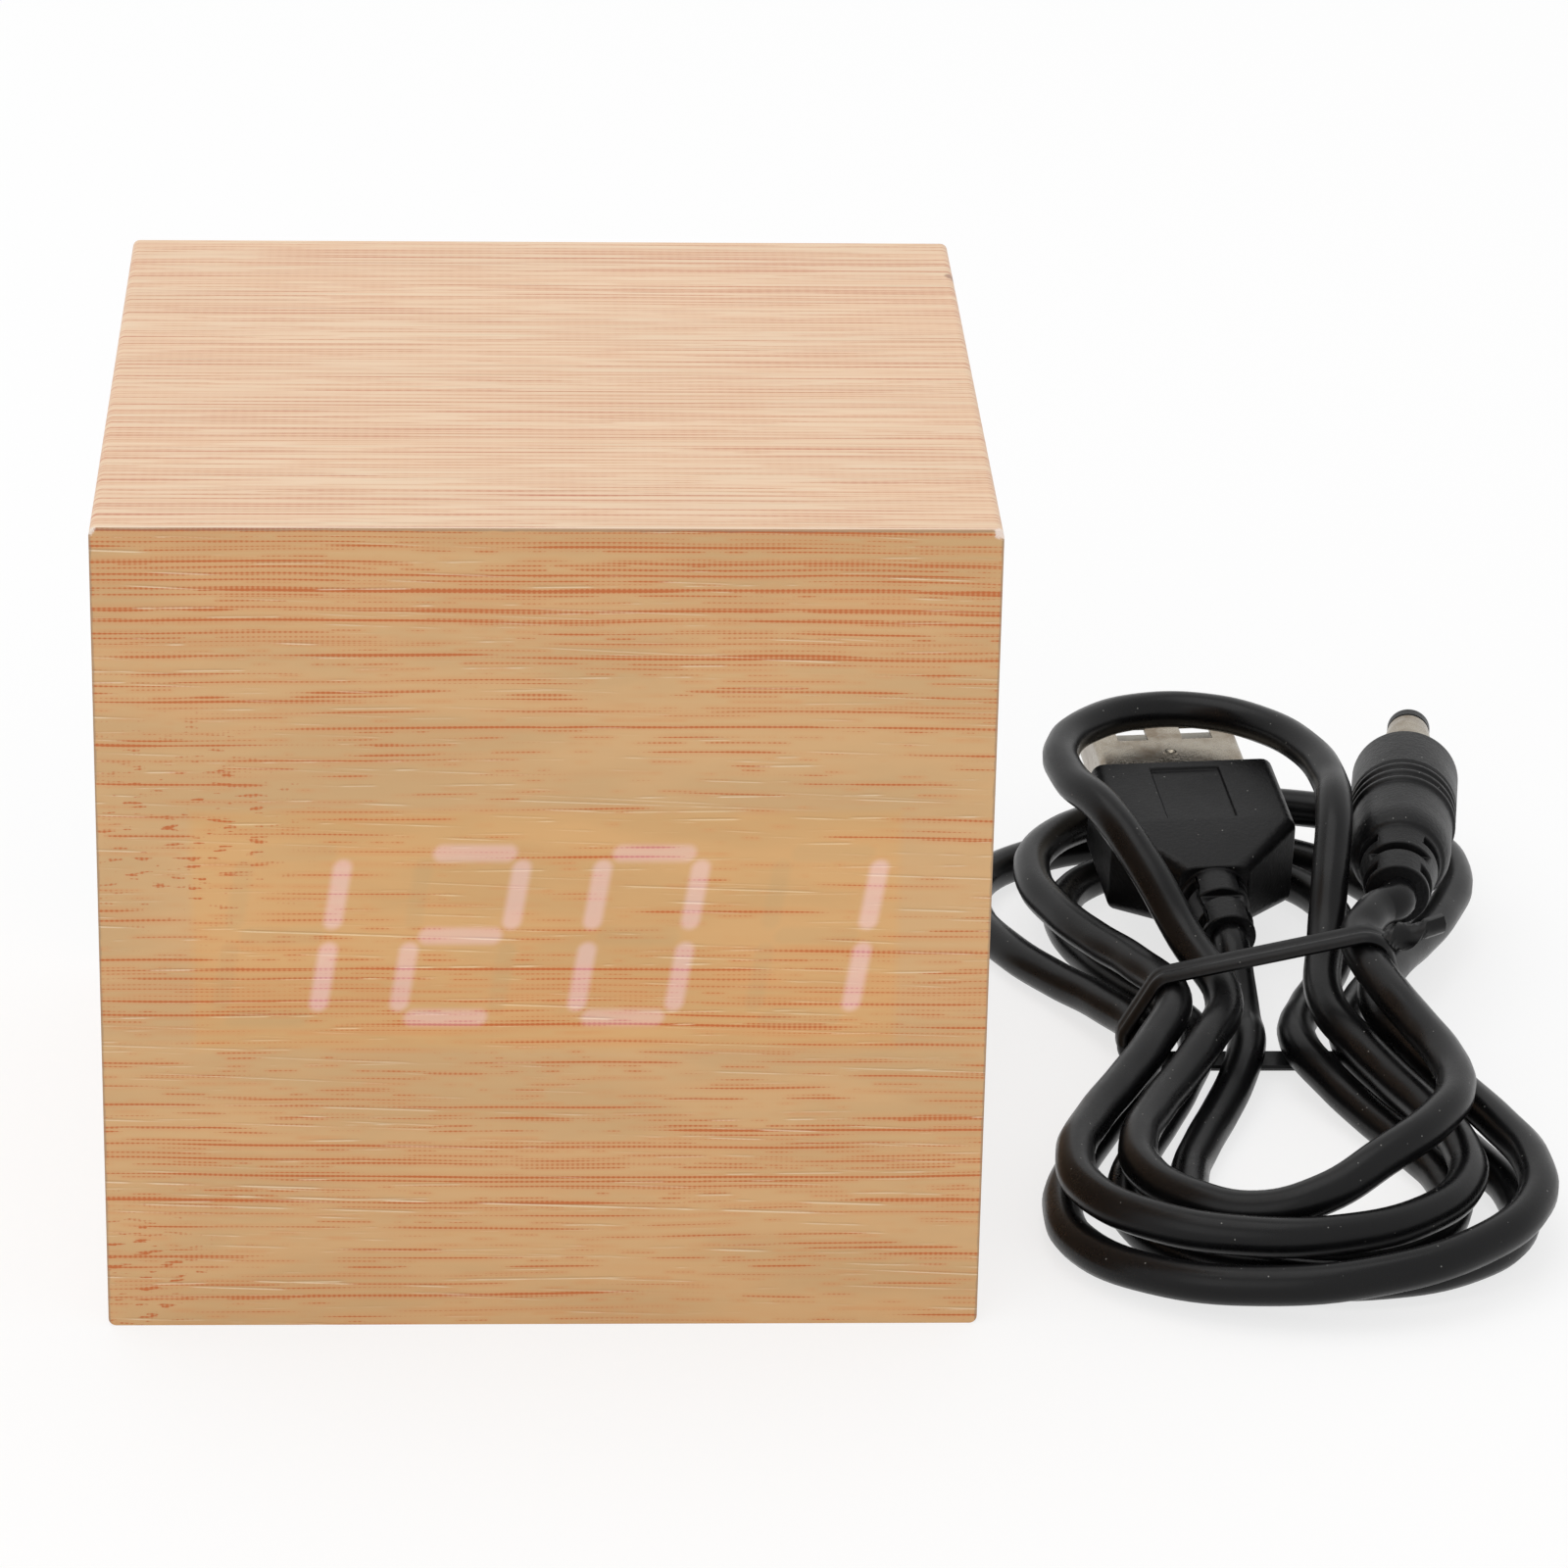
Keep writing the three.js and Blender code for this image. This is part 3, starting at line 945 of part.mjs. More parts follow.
function flatPlugParts(holder) {
  const f = flatPlug;
  const plug = plugFrame(holder, f);
  const neckEnd = f.reliefLength + f.neckLength;
  const bodyEnd = neckEnd + f.bodyLength;
  const [thin, thick] = f.reliefRadius;
  const stem = turned([[0, 0], [thin, 0], [thick, f.reliefLength], [thick, f.reliefLength + cutOver],
    [0, f.reliefLength + cutOver]], 20);
  const body = bodyLoft([
    [f.reliefLength, 2 * thick, 2 * thick, thick * f.neckRoundShare],
    [neckEnd, f.width, f.height, f.corner],
    [bodyEnd - f.corner / 2, f.width, f.height, f.corner],
    [bodyEnd, f.width - f.corner, f.height - f.corner, f.corner],
  ]);
  const [recessX, recessY, recessDepth] = f.recess;
  const recess = block([-recessX / 2, bodyEnd - f.corner - recessY, f.height / 2 - recessDepth],
    [recessX / 2, bodyEnd - f.corner, f.height]);
  const seatX = f.shellWidth / 2 + f.fit;
  const seatZ = f.shellHeight / 2 + f.fit;
  const seat = block([-seatX, bodyEnd - f.shellSeat - f.fit, -seatZ], [seatX, bodyEnd + cutOver, seatZ]);
  const slots = reliefSlots(f.reliefLength, thick, f);
  part('flat_plug_body', cut(join(stem, body), recess, seat, ...slots), 'blackPlastic', plug);

  const [y0, y1] = [bodyEnd - f.shellSeat, bodyEnd + f.shellLength];
  const [x, z] = [f.shellWidth / 2, f.shellHeight / 2];
  const outer = slab(roundedOutline(f.shellWidth, f.shellHeight, f.corner / 2), y0, y1, 2);
  const inner = roundedOutline(f.shellWidth - 2 * f.shellWall, f.shellHeight - 2 * f.shellWall, f.corner / 4);
  const hollow = slab(inner, y0 - cutOver, y1 + cutOver, 2);
  const [windowX, windowY] = f.windowSize;
  const windows = [-1, 1].map((side) => block(
    [side * f.windowApart / 2 - windowX / 2, y1 - f.windowFrom - windowY, -z - cutOver],
    [side * f.windowApart / 2 + windowX / 2, y1 - f.windowFrom, z + cutOver]));
  const dimple = new THREE.CylinderGeometry(f.dimple, f.dimple, 2 * z + 2 * cutOver, 8).rotateX(Math.PI / 2)
    .translate(0, y1 - f.windowFrom - 2 * windowY, 0);
  part('flat_plug_shell', cut(outer, hollow, dimple, ...windows), 'nickel', plug);

  const [tongueX, floor] = [f.tongueWidth / 2, -z + f.shellWall + f.fit];
  const top = floor + f.tongueHeight;
  const stripEnd = y1 - f.tongueInset * 2;
  const strips = Array.from({ length: f.contacts }, (_, i) => {
    const cx = (i - (f.contacts - 1) / 2) * f.tongueWidth / f.contacts;
    return block([cx - f.contactWidth / 2, stripEnd - f.contactLength, top - f.fit],
      [cx + f.contactWidth / 2, stripEnd, top + f.contactRise]);
  });
  const tongue = block([-tongueX, y0, floor], [tongueX, y1 - f.tongueInset, top]);
  part('flat_plug_tongue', join(tongue, ...strips), 'resin', plug);
}

// A body lofted along Y through rounded rectangles, each [y, width, height, corner radius]
function bodyLoft(stations) {
  const perCorner = 4;
  const corners = [];
  const faces = [];
  for (const [y, width, height, radius] of stations) {
    for (const [sx, sz, from] of [[1, 1, 0], [-1, 1, 1], [-1, -1, 2], [1, -1, 3]]) {
      for (let i = 0; i < perCorner; i += 1) {
        const angle = (from + i / (perCorner - 1)) * Math.PI / 2;
        corners.push(new THREE.Vector3(sx * (width / 2 - radius) + radius * Math.cos(angle), y,
          sz * (height / 2 - radius) + radius * Math.sin(angle)));
      }
    }
  }
  const ring = 4 * perCorner;
  const last = (stations.length - 1) * ring;
  for (let k = 0; k < ring; k += 1) {
    const next = (k + 1) % ring;
    for (let base = 0; base < last; base += ring) {
      faces.push(base + k, base + ring + k, base + ring + next, base + k, base + ring + next, base + next);
    }
    if (k > 1) faces.push(0, k - 1, k, last, last + k, last + k - 1);
  }
  const geometry = new THREE.BufferGeometry().setFromPoints(corners);
  geometry.setIndex(faces);
  return geometry;
}

// The cord's two short free stretches, each from the hank's end to its plug
const tailPoints = {
  flat: [[-1, 5.6, 3.55], [-1.2, 8, 5.1]],
  barrel: [[8.5, 5.2, 10.65], [9.9, 7.4, 10.75]],
};
const tailRun = { steps: 10, sides: 8 };

function leadTails(holder, [start, end]) {
  const faceAhead = (point) => point.clone().add(new THREE.Vector3(0, cord.faceGap, 0));
  const plugEnd = ({ place, lean, pitch }) => {
    const way = new THREE.Vector3(0, -1, 0).applyEuler(new THREE.Euler(
      THREE.MathUtils.degToRad(pitch), 0, THREE.MathUtils.degToRad(lean), 'ZXY'));
    const at = new THREE.Vector3(...place).addScaledVector(way, cord.faceGap);
    return [at.clone().addScaledVector(way, cord.diameter / 2), at];
  };
  const route = (from, middle, plug) => {
    const first = faceAhead(from);
    const second = first.clone().add(new THREE.Vector3(0, cord.diameter / 2, 0));
    const between = middle.map((p) => new THREE.Vector3(...p));
    const path = new THREE.CatmullRomCurve3([first, second, ...between, ...plugEnd(plug)]);
    return tube(path.getPoints(tailRun.steps), cord.diameter / 2, tailRun.sides);
  };
  part('lead_tail_flat', route(start, tailPoints.flat, flatPlug), 'blackPlastic', holder);
  part('lead_tail_barrel', route(end, tailPoints.barrel, barrelPlug), 'blackPlastic', holder);
}

// Assembly

const model = new THREE.Group();
caseShell(model);
frontBoard(model);
frontFilm(model);
displayModule(model);
mainBoardParts(model);
mainBoardComponents(model);

const rear = group(model, [0, coverY, clock.height / 2]);
backCover(rear);
coverFixings(rear);
batteryDoor(rear);
cells(rear);
contacts(rear);
buttons(rear);
buttonBoardParts(rear);
innerWiring(model, rear);

const leadPlace = group(model, [lead.x, lead.y, 0]);
const hankEnds = leadHank(leadPlace);
leadTie(leadPlace);
barrelPlugParts(leadPlace);
flatPlugParts(leadPlace);
leadTails(leadPlace, hankEnds);

export default model;
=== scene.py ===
import json
from functools import partial
from math import cos, pi, radians, sin, sqrt, tan
import bmesh
import bpy
from mathutils import Matrix, Vector


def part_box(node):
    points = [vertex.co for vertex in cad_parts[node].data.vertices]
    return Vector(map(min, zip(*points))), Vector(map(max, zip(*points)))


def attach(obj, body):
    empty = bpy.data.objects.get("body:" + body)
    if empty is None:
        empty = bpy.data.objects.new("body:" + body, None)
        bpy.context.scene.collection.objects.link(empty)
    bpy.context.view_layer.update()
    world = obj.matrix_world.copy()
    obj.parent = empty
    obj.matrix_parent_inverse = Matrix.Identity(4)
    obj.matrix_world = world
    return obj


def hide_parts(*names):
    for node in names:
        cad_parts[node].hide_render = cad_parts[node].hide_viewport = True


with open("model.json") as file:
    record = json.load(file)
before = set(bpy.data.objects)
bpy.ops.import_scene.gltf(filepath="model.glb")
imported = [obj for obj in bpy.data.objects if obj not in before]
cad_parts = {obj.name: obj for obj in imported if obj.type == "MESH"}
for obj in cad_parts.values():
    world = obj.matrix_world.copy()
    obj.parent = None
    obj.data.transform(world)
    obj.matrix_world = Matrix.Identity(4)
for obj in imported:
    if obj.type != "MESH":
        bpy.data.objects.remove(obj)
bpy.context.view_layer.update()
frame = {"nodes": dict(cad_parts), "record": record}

nodes = frame["nodes"]
scene = bpy.context.scene
scene.view_settings.view_transform = "Standard"
toMetres = Matrix.Scale(0.001, 4)
ops = bmesh.ops
print("frame loaded:", len(nodes), "nodes")


def newObject(name, data):
    thing = bpy.data.objects.new(name, data)
    scene.collection.objects.link(thing)
    return thing


def turnTo(*axes):
    return Matrix(axes).transposed().to_4x4()


# Camera, as fitted to the clock's visible corners
cameraFit = {"place": (-0.004154, -0.43493, 0.2201), "yaw": 2.90, "down": 23.69, "roll": 1.21,
             "lens": 147.4, "sensor": 36}


def makeCamera():
    yaw, down, roll = (radians(cameraFit[key]) for key in ("yaw", "down", "roll"))
    forward = Vector((sin(yaw) * cos(down), cos(yaw) * cos(down), -sin(down)))
    right = Vector((cos(yaw), -sin(yaw), 0))
    up = right.cross(forward)
    across = right * cos(roll) + up * sin(roll)
    upward = up * cos(roll) - right * sin(roll)
    data = bpy.data.cameras.new("camera")
    data.lens, data.sensor_width = cameraFit["lens"], cameraFit["sensor"]
    scene.camera = newObject("camera", data)
    scene.camera.matrix_world = Matrix.Translation(cameraFit["place"]) @ turnTo(across, upward, -forward)


makeCamera()
print("camera placed")


# Charging lead, in millimetres from the middle of its tie
leadPlace = Matrix.Translation((55.7, 10.3, 0))
cord = {"diameter": 3, "floorGap": 0.05, "stepsPerTurn": 30, "length": 0.88, "inPlug": 1.6, "behindPlug": 1.2}
hank = {"turns": 4.5, "roundness": 0.54, "waistStep": 3.94, "layerStep": 3.53, "tieLift": 1.34,
        "foldReach": 33.2, "foldReachStep": 3.75, "foldHalfWidth": 9.39, "foldStep": 4.24, "foldLean": 1.46,
        "petalReach": (36.22, 40.4, 40.09, 38.05), "petalHalfWidth": (10.2, 15.4, 15.46, 9.52),
        "petalShift": (-2.4, -3.8, 1.59, -3.64), "petalLift": (0, 0, 0, 9.44),
        "exitShift": 6.66, "exitLift": 0.42, "climb": (2.06, 2.44), "exitRise": (4.2, 4.4),
        "exitSlide": (4.31, 4.5), "waist": 0.04, "foldRate": 1.02, "petalRate": 1.08, "swell": 1.4,
        "lift": (0.04, 0.49), "tieRate": 2.2, "waistPacking": 0.8}
flatPlug = {"place": (-1.38, 11.12, 6.28), "lean": 5.49, "pitch": 6.59,
            "tail": [(-1, 5.6, 3.55), (-1.2, 8, 5.1)]}
barrelPlug = {"place": (11.49, 9.58, 10.85), "lean": -9.01, "pitch": 0,
              "tail": [(8.5, 5.2, 10.65), (9.9, 7.4, 10.75)]}


def ease(t, low=0, high=1):
    t = min(1, max(0, (t - low) / (high - low)))
    return t * t * (3 - 2 * t)


def hankPoint(u):
    phase = 2 * pi * u
    reach = abs(sin(phase)) ** hank["roundness"]
    outward = min(u, hank["turns"] - u) - 0.25  # loops counted from the innermost fold
    climb = ease(u, *hank["climb"])
    half = hank["foldHalfWidth"] + hank["foldStep"] * outward
    shift = hank["foldLean"] * (1 - 2 * climb)
    y = -(hank["foldReach"] + hank["foldReachStep"] * outward) * reach
    lift, rate = 0, hank["foldRate"]
    if sin(phase) < 0:
        petal = min(int(u), len(hank["petalReach"]) - 1)
        half, shift = hank["petalHalfWidth"][petal], hank["petalShift"][petal]
        y = hank["petalReach"][petal] * reach
        lift, rate = hank["petalLift"][petal] * ease(reach, *hank["lift"]), hank["petalRate"]
    opened = rate * max(0, reach - hank["waist"]) / (1 - hank["waist"])
    spread = (ease(opened) + sin(min(1, opened) * pi / 2)) / 2
    across = hank["waistStep"] * (outward + 0.5) * (1 - spread) + half * hank["swell"] * spread
    leaving = ease(u, *hank["exitRise"])
    x = -cos(phase) * across + shift * spread + hank["exitShift"] * ease(u, *hank["exitSlide"])
    z = (cord["diameter"] / 2 + cord["floorGap"] + hank["layerStep"] * (climb + leaving)
         + hank["exitLift"] * leaving + hank["tieLift"] * (1 - ease(reach * hank["tieRate"])) + lift)
    return Vector((x, y, z))


def turnsAt(step):
    halves = 2 * step / cord["stepsPerTurn"]  # steps packed closer at the waist
    return (halves - hank["waistPacking"] * sin(2 * pi * halves) / (2 * pi)) / 2


def plugTurn(plug):
    return (Matrix.Translation(plug["place"]) @ Matrix.Rotation(radians(plug["lean"]), 4, "Z")
            @ Matrix.Rotation(radians(plug["pitch"]), 4, "X"))


def plugRun(plug):
    inside = [plugTurn(plug) @ Vector((0, y, 0)) for y in (cord["inPlug"], 0, -cord["behindPlug"])]
    return inside + [Vector(point) for point in reversed(plug["tail"])]


def makeCord():
    steps = round(hank["turns"] * cord["stepsPerTurn"])
    run = [hankPoint(turnsAt(i)) for i in range(steps + 1)]
    ahead = Vector((0, cord["diameter"], 0))
    flatRun, barrelRun = plugRun(flatPlug), plugRun(barrelPlug)
    route = flatRun + [run[0] + ahead] + run + [run[-1] + ahead] + barrelRun[::-1]
    curve = bpy.data.curves.new("charging_cord", "CURVE")
    curve.dimensions = "3D"
    curve.bevel_depth = cord["diameter"] / 2000
    curve.bevel_resolution, curve.resolution_u, curve.use_fill_caps = 5, 8, True
    line = curve.splines.new("BEZIER")
    line.bezier_points.add(len(route) - 1)
    for point, at in zip(line.bezier_points, route):
        point.co = toMetres @ leadPlace @ at
        point.handle_left_type = point.handle_right_type = "AUTO"
    return newObject("charging_cord", curve), toMetres @ leadPlace @ flatRun[1]


chargingCord, cordExit = makeCord()
print("charging cord laid")


# Shader building: a value is a number, or the output of another node
def linear(level):
    return ((level / 255 + 0.055) / 1.055) ** 2.4 if level > 10 else level / 3294.6


def paint(red, green, blue):
    return linear(red), linear(green), linear(blue), 1


def feed(sockets, values):
    for name, value in values.items():
        if isinstance(value, bpy.types.NodeSocket):
            sockets[name].id_data.links.new(value, sockets[name])
        elif value is not None:
            sockets[name].default_value = value


def addNode(kind, values, tree=None, **settings):
    if tree is None:  # then the tree of a value that comes from a node
        tree = next(value.id_data for value in values.values() if isinstance(value, bpy.types.NodeSocket))
    node = tree.nodes.new("ShaderNode" + kind)
    for name, value in settings.items():
        setattr(node, name, value)
    feed(node.inputs, values)
    return node


def calc(operation, first, second=None, third=None, clamp=False):
    values = {0: first, 1: second, 2: third}
    return addNode("Math", values, operation=operation, use_clamp=clamp).outputs[0]


times, over, plus, less, scaled = (
    partial(calc, name) for name in ("MULTIPLY", "DIVIDE", "ADD", "SUBTRACT", "MULTIPLY_ADD"))
larger, smaller, below, beyond = (
    partial(calc, name) for name in ("MAXIMUM", "MINIMUM", "LESS_THAN", "GREATER_THAN"))
sizeOf, signOf, floorOf, partOf, sineOf = (
    partial(calc, name) for name in ("ABSOLUTE", "SIGN", "FLOOR", "FRACT", "SINE"))


def vectorCalc(operation, first, second=None):
    node = addNode("VectorMath", {0: first, 1: second}, operation=operation)
    return node.outputs["Value" if operation == "LENGTH" else "Vector"]


def distance(first, second):
    return vectorCalc("LENGTH", vectorCalc("SUBTRACT", first, second))


def spanTo(value, low, high, start=0.0, end=1.0):
    values = {"Value": value, "From Min": low, "From Max": high, "To Min": start, "To Max": end}
    return addNode("MapRange", values, interpolation_type="SMOOTHSTEP").outputs["Result"]


def mix(factor, first, second, mode="MIX"):
    return addNode("Mix", {0: factor, 6: first, 7: second}, data_type="RGBA", blend_type=mode).outputs[2]


def pick(switch, first, second):
    return addNode("Mix", {0: switch, 2: first, 3: second}, data_type="FLOAT").outputs[0]


def splitAxes(vector):
    return addNode("SeparateXYZ", {"Vector": vector}).outputs


def joinAxes(x, y, z=0.0):
    return addNode("CombineXYZ", {"X": x, "Y": y, "Z": z}).outputs[0]


def noise(vector, scale=1.0, detail=2.0, roughness=0.5, distortion=0.0):
    values = {"Vector": vector, "Scale": scale, "Detail": detail, "Roughness": roughness,
              "Distortion": distortion}
    return addNode("TexNoise", values).outputs["Fac"]


def ramp(factor, stops, interpolation="LINEAR"):
    node = addNode("ValToRGB", {"Fac": factor})
    band = node.color_ramp
    band.interpolation = interpolation
    while len(band.elements) < len(stops):
        band.elements.new(0.5)
    for element, (at, value) in zip(band.elements, stops):
        element.position = at
        element.color = (value, value, value, 1)
    return node.outputs["Color"]


socketKinds = {"Place": "Vector", "Colour": "Color", "Tarnish": "Color"}  # the others are numbers


def newGroup(name, inward, outward):
    tree = bpy.data.node_groups.new(name, "ShaderNodeTree")
    for side, keys in (("INPUT", inward), ("OUTPUT", outward)):
        for key in keys.split():
            kind = "NodeSocket" + socketKinds.get(key, "Float")
            tree.interface.new_socket(name=key, in_out=side, socket_type=kind)
    return tree, tree.nodes.new("NodeGroupInput").outputs, tree.nodes.new("NodeGroupOutput").inputs


def useGroup(group, values):
    return addNode("Group", values, node_tree=group).outputs


def newMaterial(name, values):
    material = bpy.data.materials.new(name)
    material.use_nodes = True
    tree = material.node_tree
    shader = tree.nodes["Principled BSDF"].inputs
    feed(shader, values)
    place = addNode("TexCoord", {}, tree).outputs["Object"]
    return material, shader, vectorCalc("MULTIPLY", place, (1000, 1000, 1000))  # in millimetres


def bumpFrom(height, strength):
    values = {"Height": height, "Strength": strength, "Distance": 0.00005}
    return addNode("Bump", values).outputs["Normal"]


def dress(shader, colour, rough, height, bump):
    feed(shader, {"Base Color": colour, "Roughness": rough, "Normal": bumpFrom(height, bump)})


# Broken lines: one thin line in each row, which swells, tapers and stops along its run
lineForm = {"place": (0.6, 0.2), "startSpan": 40.0, "rowStep": 7.13, "noise": (1.0, 2.5, 0.6),
            "fadeIn": 0.14, "weight": (0.6, 0.4), "sharpness": 14.0, "hazeReach": 3.5}


def makeLineGroup():
    form = lineForm
    tree, take, give = newGroup("broken lines", "Along Across Pitch Run Width Low Seed", "Line Haze")
    rows = over(take["Across"], take["Pitch"])
    index = floorOf(rows)
    luck = addNode("TexWhiteNoise", {"Vector": joinAxes(index, take["Seed"])}).outputs["Color"]
    place, start, weight = addNode("SeparateColor", {"Color": luck}).outputs
    middle = scaled(place, *form["place"])
    offset = times(sizeOf(less(partOf(rows), middle)), take["Pitch"])
    runs = over(take["Along"], take["Run"])
    at = joinAxes(scaled(start, form["startSpan"], runs), times(index, form["rowStep"]), take["Seed"])
    strength = noise(at, *form["noise"])
    shown = spanTo(strength, take["Low"], plus(take["Low"], form["fadeIn"]))
    half = times(times(take["Width"], shown), scaled(weight, *form["weight"]))
    line = times(less(half, offset), form["sharpness"], clamp=True)
    haze = spanTo(offset, times(take["Width"], form["hazeReach"]), 0.0)
    feed(give, {"Line": line, "Haze": times(haze, shown)})
    return tree


lineGroup = makeLineGroup()
# Printed wood-look film: tan ground, streaks printed as fine dots, and pressed pores, each with a painted
# highlight along the pore and a painted shade line just beside it
# The ground's and streaks' pale colours are a painted sheen, for the case's top as if lit from above
filmPrint = {"ground": paint(201, 163, 116), "groundWarm": paint(210, 169, 120),
             "groundSheen": paint(236, 209, 181), "streak": paint(190, 100, 46),
             "streakSheen": paint(180, 106, 72), "haze": paint(209, 142, 88),
             "poreHighlight": paint(240, 220, 186), "poreShade": paint(150, 116, 76),
             "sway": 1.6, "rarest": 0.59, "densityReach": 0.21, "dotPitch": 0.36, "dotDepth": 0.34,
             "dashShown": (0.57, 0.65), "inkShown": (0.26, 1.05), "warmShown": (0.36, 0.64),
             "hazeShare": 0.36, "inkShare": 0.92, "poreShadeShare": 0.4, "poreHighlightShare": 0.75,
             "poreShadow": 0.12, "poreDepth": 0.8, "pressedDepth": 0.3}
# Slow unevenness: its length along the grain, its width across, its seed and its detail
filmNoise = {"sway": (45, 14, 7.7, 2), "dash": (2.1, 0.36, 60.0, 2), "warm": (18, 5, 15.5, 3),
             "pressed": (2.2, 0.35, 33.0, 4)}
streakRows = [{"Pitch": 1.13, "Run": 30.0, "Width": 0.17, "Seed": 3.0, "rarity": 0.0, "weight": 0.95},
              {"Pitch": 0.71, "Run": 14.0, "Width": 0.14, "Seed": 11.0, "rarity": 0.0, "weight": 0.85},
              {"Pitch": 0.47, "Run": 6.0, "Width": 0.11, "Seed": 23.0, "rarity": 0.01, "weight": 0.7}]
poreRows = [{"Pitch": 0.83, "Run": 9.0, "Width": 0.09, "Seed": 41.0, "rarity": 0.5, "slope": 0.035},
            {"Pitch": 0.97, "Run": 6.0, "Width": 0.08, "Seed": 57.0, "rarity": 0.5, "slope": -0.012},
            {"Pitch": 1.6, "Run": 16.0, "Width": 0.08, "Seed": 71.0, "rarity": 0.53, "slope": 0.05}]


def unevenness(along, across, name):
    length, width, seed, detail = filmNoise[name]
    at = joinAxes(over(along, length), over(across, width), seed)
    return noise(at, detail=detail)


def brokenLines(row, along, across, low):
    values = {key: row[key] for key in ("Pitch", "Run", "Width", "Seed")}
    return useGroup(lineGroup, values | {"Along": along, "Across": across, "Low": low})


def makeFilmGroup():
    film = filmPrint
    tree, take, give = newGroup("film print", "Along Across Density Knots Pale", "Colour Height Pores")
    along, across = take["Along"], take["Across"]
    waved = scaled(unevenness(along, across, "sway"), film["sway"], across)
    low = less(film["rarest"], times(take["Density"], film["densityReach"]))
    ink = haze = 0.0
    for row in streakRows:
        lines = brokenLines(row, along, waved, plus(low, row["rarity"]))
        ink = larger(ink, times(lines["Line"], row["weight"]))
        haze = larger(haze, lines["Haze"])
    dashes = spanTo(unevenness(along, across, "dash"), *film["dashShown"])
    ink = larger(ink, times(dashes, take["Knots"]))
    turn = pi / film["dotPitch"]
    rising = sineOf(times(plus(along, across), turn))
    falling = sineOf(times(less(along, across), turn))
    # The painted sheen also washes out the dots
    depth = scaled(take["Pale"], -film["dotDepth"], film["dotDepth"])
    dots = times(times(rising, falling), depth)
    inked = spanTo(plus(ink, dots), *film["inkShown"])
    warm = spanTo(unevenness(along, across, "warm"), *film["warmShown"])
    ground = mix(warm, film["ground"], film["groundWarm"])
    # Painted sheen: the ground and the streaks are mixed towards paler colours
    ground = mix(take["Pale"], ground, film["groundSheen"])
    tinted = mix(times(haze, film["hazeShare"]), ground, film["haze"])
    streak = mix(take["Pale"], film["streak"], film["streakSheen"])
    printed = mix(times(inked, film["inkShare"]), tinted, streak)
    # Each pore line is painted pale as a highlight, and a line just beside it is painted dark as shade, as
    # light and shade fall on a pressed groove
    pale = dark = 0.0
    for row in poreRows:
        sloped = scaled(along, row["slope"], across)
        shadow = less(sloped, film["poreShadow"])
        pale = larger(pale, brokenLines(row, along, sloped, row["rarity"])["Line"])
        dark = larger(dark, brokenLines(row, along, shadow, row["rarity"])["Line"])
    # Painted shade, then painted highlight, over the print
    printed = mix(times(dark, film["poreShadeShare"]), printed, film["poreShade"])
    printed = mix(times(pale, film["poreHighlightShare"]), printed, film["poreHighlight"])
    pressed = times(unevenness(along, across, "pressed"), film["pressedDepth"])
    height = scaled(pale, -film["poreDepth"], pressed)
    feed(give, {"Colour": printed, "Height": height, "Pores": pale})
    return tree


filmGroup = makeFilmGroup()
# Digits as they glow through the film, 1 2 0 1 from the left. Each bar has its place, in half widths
# and half heights, and its strength in each digit
digits = {"count": 4, "pitch": 12.4, "z": 31.0, "slant": tan(radians(9.5)), "wide": 6.8, "tall": 6.3,
          "gap": 1.15, "core": 0.32, "soft": 0.95}
bars = {"top": ((0, 2), (0, 0.85, 0.8, 0)), "upperRight": ((1, 1), (0.95, 0.95, 0.95, 1)),
        "lowerRight": ((1, -1), (1, 0, 0.95, 1)), "bottom": ((0, -2), (0, 0.8, 0.75, 0)),
        "lowerLeft": ((-1, -1), (0, 0.9, 0.95, 0)), "upperLeft": ((-1, 1), (0, 0, 0.95, 0)),
        "middle": ((0, 0), (0, 0.85, 0, 0))}


def makeGlowGroup():
    tree, take, give = newGroup("segment glow", "Place", "Lit Unlit")
    x, _, z = splitAxes(take["Place"])
    count, pitch = digits["count"], digits["pitch"]
    height = less(z, digits["z"])
    straight = scaled(height, -digits["slant"], x)
    shares = scaled(straight, 1 / pitch, count / 2)
    inCell = times(less(partOf(shares), 0.5), pitch)
    at = joinAxes(inCell, height)
    place = over(plus(floorOf(shares), 0.5), count)
    halfWide, halfTall, gap = digits["wide"] / 2, digits["tall"] / 2, digits["gap"]
    lit = unlit = 0.0
    for (side, level), strengths in bars.values():
        half = (0, halfTall - gap, 0) if side else (halfWide - gap, 0, 0)
        away = vectorCalc("SUBTRACT", at, (side * halfWide, level * halfTall, 0))
        away = vectorCalc("SUBTRACT", vectorCalc("ABSOLUTE", away), half)
        away = vectorCalc("MAXIMUM", away, (0, 0, 0))
        bar = spanTo(vectorCalc("LENGTH", away), digits["soft"], digits["core"])
        stops = [(i / count, strength) for i, strength in enumerate(strengths)]
        lit = larger(lit, times(bar, ramp(place, stops, "CONSTANT")))
        unlit = larger(unlit, bar)
    inside = below(sizeOf(straight), pitch * count / 2)
    dark = less(unlit, lit, clamp=True)
    feed(give, {"Lit": times(lit, inside), "Unlit": times(dark, inside)})
    return tree


glowGroup = makeGlowGroup()
# Case and front film: walls with tight folds. The film's print follows these sizes too
caseBody = {"wide": 62.0, "high": 61.0, "front": -29.75, "back": 30.0, "film": 0.25, "wall": 4.0,
            "fold": 0.55, "rim": 0.12, "overrun": 1}
# Chips at the front's top corners and a nick further back, where the film has worn through
wornSpots = [{"at": (31.0, -30.0, 61.0), "reach": 0.62, "colour": paint(232, 214, 202)},
             {"at": (-31.0, -30.0, 61.0), "reach": 0.4, "colour": paint(230, 214, 200)},
             {"at": (31.0, 22.5, 61.0), "reach": 0.6, "colour": paint(166, 122, 94)}]
wornEdge = {"noise": (3.0, 5.0, 0.75), "ragged": 1.2, "outer": 0.18, "inner": 0.12}


